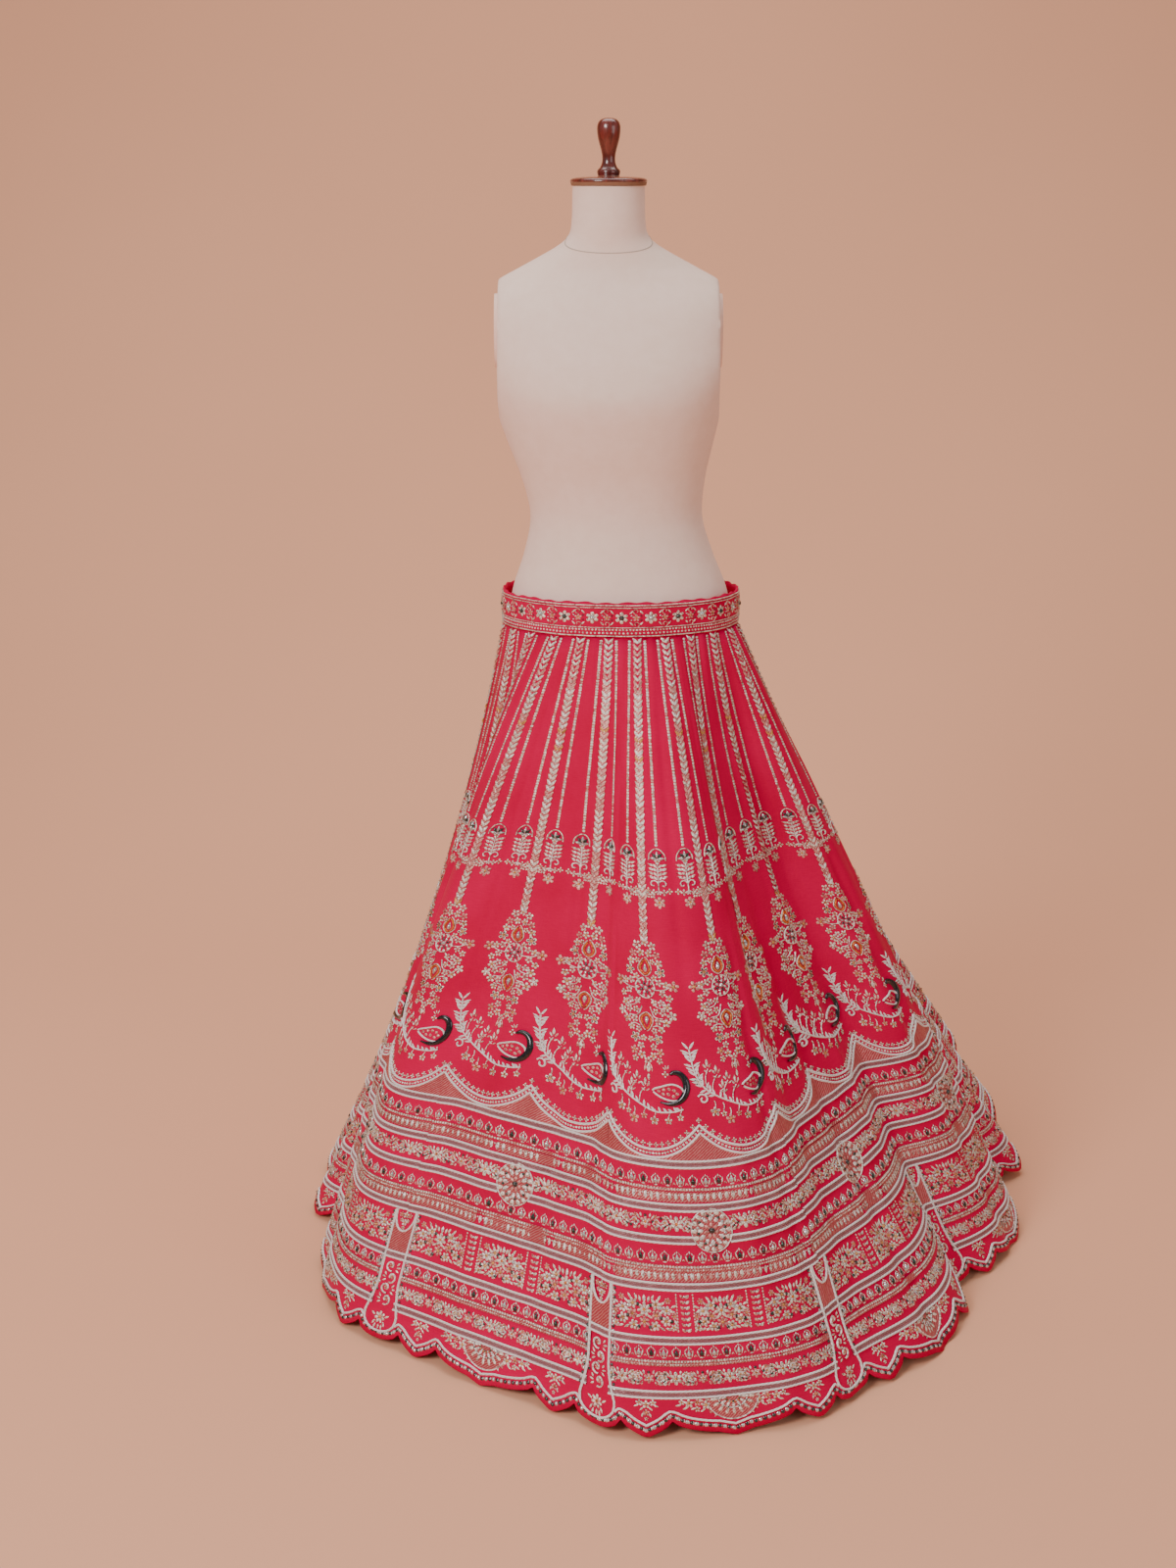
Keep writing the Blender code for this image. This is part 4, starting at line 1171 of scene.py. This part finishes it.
path = inside(0.0150, 0.0032)
keep = np.abs(path[:, 0] - 0.5) < 0.424
cords.tube(path[keep], 0.0016, 0.0022)
path = inside(0.0088, 0.0062)[:-1]
stones.stamp("disc", *path.T, 0.0028, 0.0028, 0, 0.0030, repeated(len(path), ("smoke", "clear")))
path = inside(0.0088, 0.0031)[1:-1:2]
hemWork.stamp("bead", *path.T, 0.0012, 0.0026, 0, 0.0016, "pale")
# an arched ground and a fan in the wide ogee, and a spray in each small point
anchor = (0.5, 0.9545)
arc = mm(*anchor, np.linspace(-34, 34, 25), 31 * np.sqrt(1 - np.linspace(-0.98, 0.98, 25) ** 2))
grounds.strip(pairs(arc[0], 0.9550), pairs(*arc), "rose", 0.0006, 3)
hemWork.tube(pairs(*arc), 0.0011, 0.0018, "pale")
for count, reach, wide, tall, dye in ((9, 19.5, 2.8, 5.5, "silver"), (7, 11.5, 2.4, 4.6, "pale")):
    for p in range(count):
        a = math.radians(-84 + 168 * p / (count - 1))
        place = mm(*anchor, reach * 1.25 * math.sin(a), reach * math.cos(a))
        turn = 180 - math.degrees(a)
        hemWork.stamp("petal", *place, wide / 1000, tall / 1000, turn, 0.0018, dye, lift=0.0007)
        place = mm(*anchor, (reach * 1.25 - 4.5) * math.sin(a), (reach - 4.5) * math.cos(a))
        stone = "green" if p % 2 else "clear"
        stones.stamp("bead", *place, 0.0018, 0.0018, 0, 0.0024, stone, lift=0.0007)
for reach in (7.5, 15.5):
    a = np.linspace(-1.5, 1.5, 15)
    bow = pairs(*mm(*anchor, reach * 1.25 * np.sin(a), reach * np.cos(a)))
    hemWork.tube(bow, 0.0009, 0.0016, "gold" if reach < 10 else "pale")
ogeeFlowers = (
    (36, 9, 6.5, "silver"), (47, 5, 5.0, "blush"), (58, 6, 6.0, "silver"), (29, 17, 4.5, "blush"),
    (67, 4, 4.0, "pale"), (48, 14, 4.0, "silver"),
)
ogeeLeaves = (
    (41, 16, 120), (33, 2, 70), (53, 13, 110), (63, 12, 110), (24, 23, 140), (42, 2, 60), (72, 8, 100)
)
sprayFlowers = (
    (0, 6, 5.5, "silver"), (0, 17, 4.5, "blush"), (-9, 4, 4.5, "pale"), (9, 4, 4.5, "pale"),
    (0, 25, 2.5, "silver")
)
sprayLeaves = ((-6, 12, -130), (6, 12, 130), (-5, 20, -160), (5, 20, 160), (-13, 8, -110), (13, 8, 110))
for side in (-1, 1):
    hemWork.posy(anchor, ogeeFlowers, 0.0016, flip=side)
    hemWork.sprigs(anchor, ogeeLeaves, 0.0017, 0.0042, 0.0015, side)
    spray = (0.5 + side * 0.31, 0.9555)
    hemWork.posy(spray, sprayFlowers, 0.0016)
    hemWork.sprigs(spray, sprayLeaves, 0.0016, 0.0036, 0.0015)

trims = [
    cords.build("white_cordwork", finishes["cord"]),
    upperWork.build("chevrons_and_tassels", finishes["thread"]),
    medallionWork.build("medallions", finishes["thread"]),
    gardenWork.build("scallops_and_bouquets", finishes["thread"]),
    borderWork.build("border_threadwork", finishes["thread"]),
    hemWork.build("hem_threadwork", finishes["thread"]),
    stones.build("stonework", finishes["stone"]),
    grounds.build("zari_grounds", finishes["panel"]),
]
kaliArea = (waistWidth + hemWidth) / 2 * flatLength
kaliCount * kaliArea
print("embroidery worked")


band = {"inner": -0.0026, "around": 240, "rows": 8, "motifs": 26}


def bandAt(share, z, height=0.0):
    angle = share * 2 * math.pi
    lean = 0.0006 * np.sin(angle * 9) + 0.0004 * np.sin(angle * 23 + 1)
    x, y = np.sin(angle), -np.cos(angle)
    out = np.stack((x / waistHalfWidth, y / waistHalfDepth, np.zeros_like(x)), axis=-1)
    out /= np.linalg.norm(out, axis=-1, keepdims=True)
    point = np.stack((waistCentreX + waistHalfWidth * x, waistHalfDepth * y, z), axis=-1)
    return point + out * (height + lean)[..., None]


def makeBand():
    wide, tall = band["around"], band["rows"]
    share, rows = np.meshgrid(np.arange(wide) / wide, np.linspace(0, 1, tall))
    wavy = 0.0009 * np.sin(share * 2 * math.pi * 37) + 0.0006 * np.sin(share * 2 * math.pi * 13)
    z = waistTop - 0.001 + wavy - (waistTop - waistBottom - 0.001 + wavy) * rows
    puff = 0.0012 * np.sin(math.pi * rows)
    outer = bandAt(share, z, puff).reshape(-1, 3)
    inner = bandAt(share, z, np.full(puff.shape, band["inner"])).reshape(-1, 3)
    uv = np.stack((share, 1 - rows), axis=-1).reshape(-1, 2)
    points, uv = np.concatenate((outer, inner)), np.concatenate((uv, uv))
    made = makeMesh("waistband_cloth", points, ringFaces(wide, tall), finishes["band"], uv, wraps=True)
    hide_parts("waistband")
    return made


class BandWork(Work):
    # the same stitches on the waistband: u is a share of its girth and v a share of a metre down from its top
    def laid(self, points, faces, uv, dye):
        down = points[:, 1] * flatLength
        puff = 0.0013 * np.sin(math.pi * np.clip(down / 0.05, 0, 1))
        return bandAt(points[:, 0], waistTop - down, points[:, 2] + puff + 0.0002), faces, uv, dye


def level(y):
    return y / flatLength


waistband = makeBand()
bandThread, bandStones = BandWork(), BandWork()
stitched.update(top=waistGirth, bottom=waistGirth)
for i, at in enumerate(np.arange(band["motifs"]) / band["motifs"]):
    anchor = (at, level(0.0215))
    bandThread.flower(*anchor, 0.0080, 6, "silver", "gold", 0.0018)
    bandStones.stamp("disc", *anchor, 0.0034, 0.0034, 0, 0.0032, "clear" if i % 2 else "smoke", rings=2)
    middle = (at + 0.5 / band["motifs"], anchor[1])
    bandThread.flower(*middle, 0.0048, 5, "blush", "gold", 0.0016)
    for side in (-1, 1):
        bandThread.tube(
            along(middle, spiral(0, 9 * side, 4.5, 1.5, 180 * side, -140 * side, 9), 1), 0.0007, 0.0014,
            "blush"
        )
        for x in (-6, 6):
            bandThread.stamp(
                "leaf", *mm(*middle, x, 8 * side), 0.0014, 0.0034, x * 7 * side, 0.0014, "silver"
            )
            stone = "green" if x > 0 else "clear"
            bandStones.stamp("bead", *mm(*middle, x, 3 * side), 0.0012, 0.0012, 0, 0.0018, stone)
ring = np.linspace(0, 1, 241)
for y, half in ((0.0045, 0.0008), (0.0078, 0.0006), (0.0350, 0.0006), (0.0470, 0.0009)):
    bandThread.tube(pairs(ring, level(y)), half, 0.0014, "silver")
for y, pitch in ((0.0382, 0.0042), (0.0428, 0.0050)):
    u = spaced(0, 1, 0, pitch)
    mixed = choice(len(u), ("pale", "silver"), (0.6, 0.4))
    bandThread.stamp("bead", u, level(y), 0.0016, 0.0016, 0, 0.0018, mixed)
bandTrims = [
    bandThread.build("waistband_threadwork", finishes["thread"], "waistband_silk"),
    bandStones.build("waistband_stones", finishes["stone"], "waistband_silk"),
]
print("waistband made")


# rows of height, half width, half depth, shift in x, shift in y and squareness
formRows = np.array((
    (0.770, 0.150, 0.098, 0.018, 0.004, 2.2),
    (0.780, 0.158, 0.106, 0.018, 0.004, 2.2),
    (0.830, 0.168, 0.117, 0.018, 0.004, 2.2),
    (0.890, 0.167, 0.121, 0.018, 0.002, 2.1),
    (0.945, 0.161, 0.121, 0.018, 0.000, 2.1),
    (1.000, 0.151, 0.114, 0.017, -0.001, 2.1),
    (1.050, 0.133, 0.100, 0.015, -0.001, 2.1),
    (1.100, 0.121, 0.092, 0.012, -0.001, 2.1),
    (1.150, 0.127, 0.097, 0.008, -0.004, 2.2),
    (1.210, 0.144, 0.113, 0.003, -0.012, 2.2),
    (1.265, 0.160, 0.124, 0.000, -0.017, 2.2),
    (1.305, 0.172, 0.120, 0.000, -0.012, 2.3),
    (1.345, 0.178, 0.110, 0.000, -0.004, 2.3),
    (1.380, 0.179, 0.099, 0.000, 0.004, 2.3),
    (1.405, 0.172, 0.088, 0.000, 0.010, 2.2),
    (1.424, 0.152, 0.077, 0.000, 0.014, 2.1),
    (1.440, 0.123, 0.068, 0.000, 0.014, 2.0),
    (1.455, 0.095, 0.060, 0.000, 0.011, 2.0),
    (1.468, 0.072, 0.054, 0.000, 0.007, 2.0),
    (1.480, 0.057, 0.0505, 0.000, 0.003, 2.0),
    (1.495, 0.0510, 0.0490, 0.000, 0.000, 2.0),
    (1.548, 0.0490, 0.0485, 0.000, 0.000, 2.0),
))
form = {"limit": 0.151, "limitFrom": 1.20, "around": 144, "perRow": 7}


def formRowAt(z):
    # the table's row at each height, on a smooth curve through its rows
    z = np.atleast_1d(z)
    t = formRows[:, 0]
    i = np.clip(np.searchsorted(t, z, side="right") - 1, 0, len(t) - 2)
    before, after = formRows[np.maximum(i - 1, 0)], formRows[np.minimum(i + 2, len(t) - 1)]
    a, b = formRows[i], formRows[i + 1]
    span = b[:, :1] - a[:, :1]
    s = (z[:, None] - a[:, :1]) / span
    start = (b - before) / (b[:, :1] - before[:, :1]) * span
    end = (after - a) / (after[:, :1] - a[:, :1]) * span
    fromRows = (2 * s**3 - 3 * s**2 + 1) * a + (s**3 - 2 * s**2 + s) * start
    return fromRows + (3 * s**2 - 2 * s**3) * b + (s**3 - s**2) * end


def formAt(turn, z, out=0.0):
    row = formRowAt(z)
    sine, cosine = np.sin(turn), -np.cos(turn)
    power = 2 / row[:, 5]
    x = row[:, 1] * np.sign(sine) * np.abs(sine) ** power
    y = row[:, 2] * np.sign(cosine) * np.abs(cosine) ** power
    x = np.where(z > form["limitFrom"], np.clip(x, -form["limit"], form["limit"]), x)
    grow = 1 + out / np.maximum(np.hypot(x, y), 0.02)
    return np.stack((row[:, 3] + x * grow, row[:, 4] + y * grow, z), axis=-1)


def makeForm():
    places = np.arange((len(formRows) - 1) * form["perRow"] + 1) / form["perRow"]
    heights = np.interp(places, np.arange(len(formRows)), formRows[:, 0])
    wide, tall = form["around"], len(heights)
    turn, z = np.meshgrid(np.arange(wide) * 2 * math.pi / wide, heights)
    points = formAt(turn.ravel(), z.ravel())
    faces = gridFaces(wide, tall, closed=True)[:, ::-1]
    ends = [np.array([[len(points) + k] * 3 for _ in range(wide)]) for k in (0, 1)]
    ring = np.arange(wide)
    nextOne = (ring + 1) % wide
    ends[0][:, 0], ends[0][:, 1] = nextOne, ring
    ends[1][:, 0], ends[1][:, 1] = ring + (tall - 1) * wide, nextOne + (tall - 1) * wide
    caps = np.stack((points[:wide].mean(axis=0), points[-wide:].mean(axis=0)))
    made = makeMesh(
        "form_cover", np.concatenate((points, caps)), [faces, ends[0], ends[1]], finishes["linen"]
    )
    made.data.set_sharp_from_angle(angle=math.radians(50))
    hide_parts("form_torso")


piping = {"around": 96, "height": 1.481, "slope": 0.020, "half": 0.0009}


def makeFormSeams():
    # narrow piping on the neck seam
    turns = np.arange(piping["around"]) * 2 * math.pi / piping["around"]
    heights = piping["height"] - piping["slope"] * np.cos(turns)
    centre = formAt(turns, heights)
    outer = formAt(turns, heights, 0.010) - centre
    outer /= np.linalg.norm(outer, axis=1, keepdims=True)
    side = np.cross(np.roll(centre, -1, axis=0) - np.roll(centre, 1, axis=0), outer)
    side /= np.linalg.norm(side, axis=1, keepdims=True)
    section = ((-1, -0.6), (-0.6, 0.45), (0.6, 0.45), (1, -0.6))
    half = piping["half"]
    rings = np.stack([centre + side * (a * half) + outer * (h * half) for a, h in section], axis=1)
    quads = gridFaces(4, len(centre) + 1) % (4 * len(centre))
    made = makeMesh("form_seams", rings.reshape(-1, 3), quads[:, ::-1], finishes["tape"])


lathe = {"around": 72, "stepsEach": 5}


def turned(name, profile, z, finish, node=None):
    # a lathe-turned piece from a profile of (radius, height), given from the top down
    path, around = curve(profile, lathe["stepsEach"]), lathe["around"]
    turn, i = np.meshgrid(np.arange(around) * 2 * math.pi / around, np.arange(len(path)))
    radius = np.maximum(path[i, 0], 0.0)
    points = np.stack((radius * np.sin(turn), -radius * np.cos(turn), z + path[i, 1]), axis=-1).reshape(-1, 3)
    made = makeMesh(name, points, gridFaces(around, len(path), closed=True), finish)
    made.data.set_sharp_from_angle(angle=math.radians(45))
    if node:
        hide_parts(node)


makeForm()
makeFormSeams()
neckTop = 1.5483
capProfile = (
    (0.0005, 0.0125), (0.030, 0.0122), (0.0455, 0.0108), (0.0510, 0.0090), (0.0525, 0.0066), (0.0520, 0.0050),
)
rimProfile = ((0.0519, 0.0050), (0.0512, 0.0022), (0.0488, 0.0002), (0.030, 0.0001), (0.0005, 0.0))
handleProfile = (
    (0.0002, 0.0760), (0.0080, 0.0748), (0.0132, 0.0712), (0.0156, 0.0655), (0.0158, 0.0580),
    (0.0146, 0.0490), (0.0122, 0.0400), (0.0099, 0.0315), (0.0088, 0.0245), (0.0092, 0.0175),
    (0.0116, 0.0118), (0.0148, 0.0085), (0.0158, 0.0055), (0.0150, 0.0020), (0.0148, 0.0),
)
turned("neck_cap_wood", capProfile, neckTop, finishes["wood"], "neck_cap")
turned("neck_cap_rim", rimProfile, neckTop, finishes["rim"])
turned("neck_handle_wood", handleProfile, neckTop + 0.0128, finishes["wood"], "neck_handle")
shownAsBuilt = {
    "arm_plate_left": "linen", "arm_plate_right": "linen",
    "form_plate": "wood", "stand_pole": "metal", "stand_base": "metal",
}
for node, finish in shownAsBuilt.items():
    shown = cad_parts[node]
    shown.data.materials.clear()
    shown.data.materials.append(finishes[finish])
print("form made")


backdrop = Finish("warm_backdrop", Roughness=0.95, Specular_IOR_Level=0.1)
wash = backdrop.noise(backdrop.place(kind="Object"), 0.6, 2.0)
backdrop.put(
    {"Base_Color": backdrop.mix(backdrop.spread(wash, 0.3, 0.7), (0.88, 0.455, 0.285), (0.91, 0.475, 0.30))}
)


sweep = {"start": 1.2, "radius": 4.5}


def makeStage():
    # floor and wall in one sweep
    bend = np.radians(np.linspace(0, 90, 33))
    curved = np.stack(
        (sweep["start"] + sweep["radius"] * np.sin(bend), sweep["radius"] * (1 - np.cos(bend))), axis=1
    )
    path = np.concatenate(([[-40.0, 0.0]], curved, [[curved[-1, 0], 16.0]]))
    x = np.array((-30.0, 30.0))
    points = np.array([(a, y, z) for y, z in path for a in x])
    mesh = bpy.data.meshes.new("stage")
    mesh.from_pydata([tuple(p) for p in points], [], [tuple(f) for f in gridFaces(2, len(path))[:, ::-1]])
    mesh.materials.append(backdrop.made)
    mesh.shade_smooth()
    made = bpy.data.objects.new("stage", mesh)
    bpy.context.scene.collection.objects.link(made)


lights = (
    ("key", (-2.1, -3.2, 2.9), (0.05, 0.0, 0.70), 1.5, 122, (1.0, 0.97, 0.95)),
    ("fill", (3.0, -2.9, 1.9), (0.05, 0.0, 0.6), 2.2, 26, (1.0, 0.97, 0.96)),
    ("top", (0.0, 0.5, 4.2), (0.0, 0.2, 0.5), 3.0, 50, (1.0, 0.98, 0.96)),
    ("wall", (0.0, 1.4, 4.6), (0.0, 5.0, 1.6), 4.0, 88, (1.0, 0.97, 0.94)),
)


def makeLights():
    for name, place, target, size, power, colour in lights:
        data = bpy.data.lights.new(name, "AREA")
        data.energy, data.size, data.color = power, size, colour
        made = bpy.data.objects.new(name, data)
        made.location = place
        made.rotation_euler = (Vector(target) - Vector(place)).to_track_quat("-Z", "Y").to_euler()
        bpy.context.scene.collection.objects.link(made)
    world = bpy.data.worlds.new("studio")
    world.use_nodes = True
    world.node_tree.nodes["Background"].inputs[0].default_value = (1.0, 0.93, 0.88, 1.0)
    world.node_tree.nodes["Background"].inputs[1].default_value = 0.33
    bpy.context.scene.world = world


def makeCamera():
    data = bpy.data.cameras.new("camera")
    data.lens, data.sensor_width = 50, 36
    made = bpy.data.objects.new("camera", data)
    made.location = (-0.028, -3.06, 1.54)
    made.rotation_euler = (math.radians(74.8), 0, 0)
    bpy.context.scene.collection.objects.link(made)
    bpy.context.scene.camera = made


makeStage()
makeLights()
makeCamera()
print("scene ready")
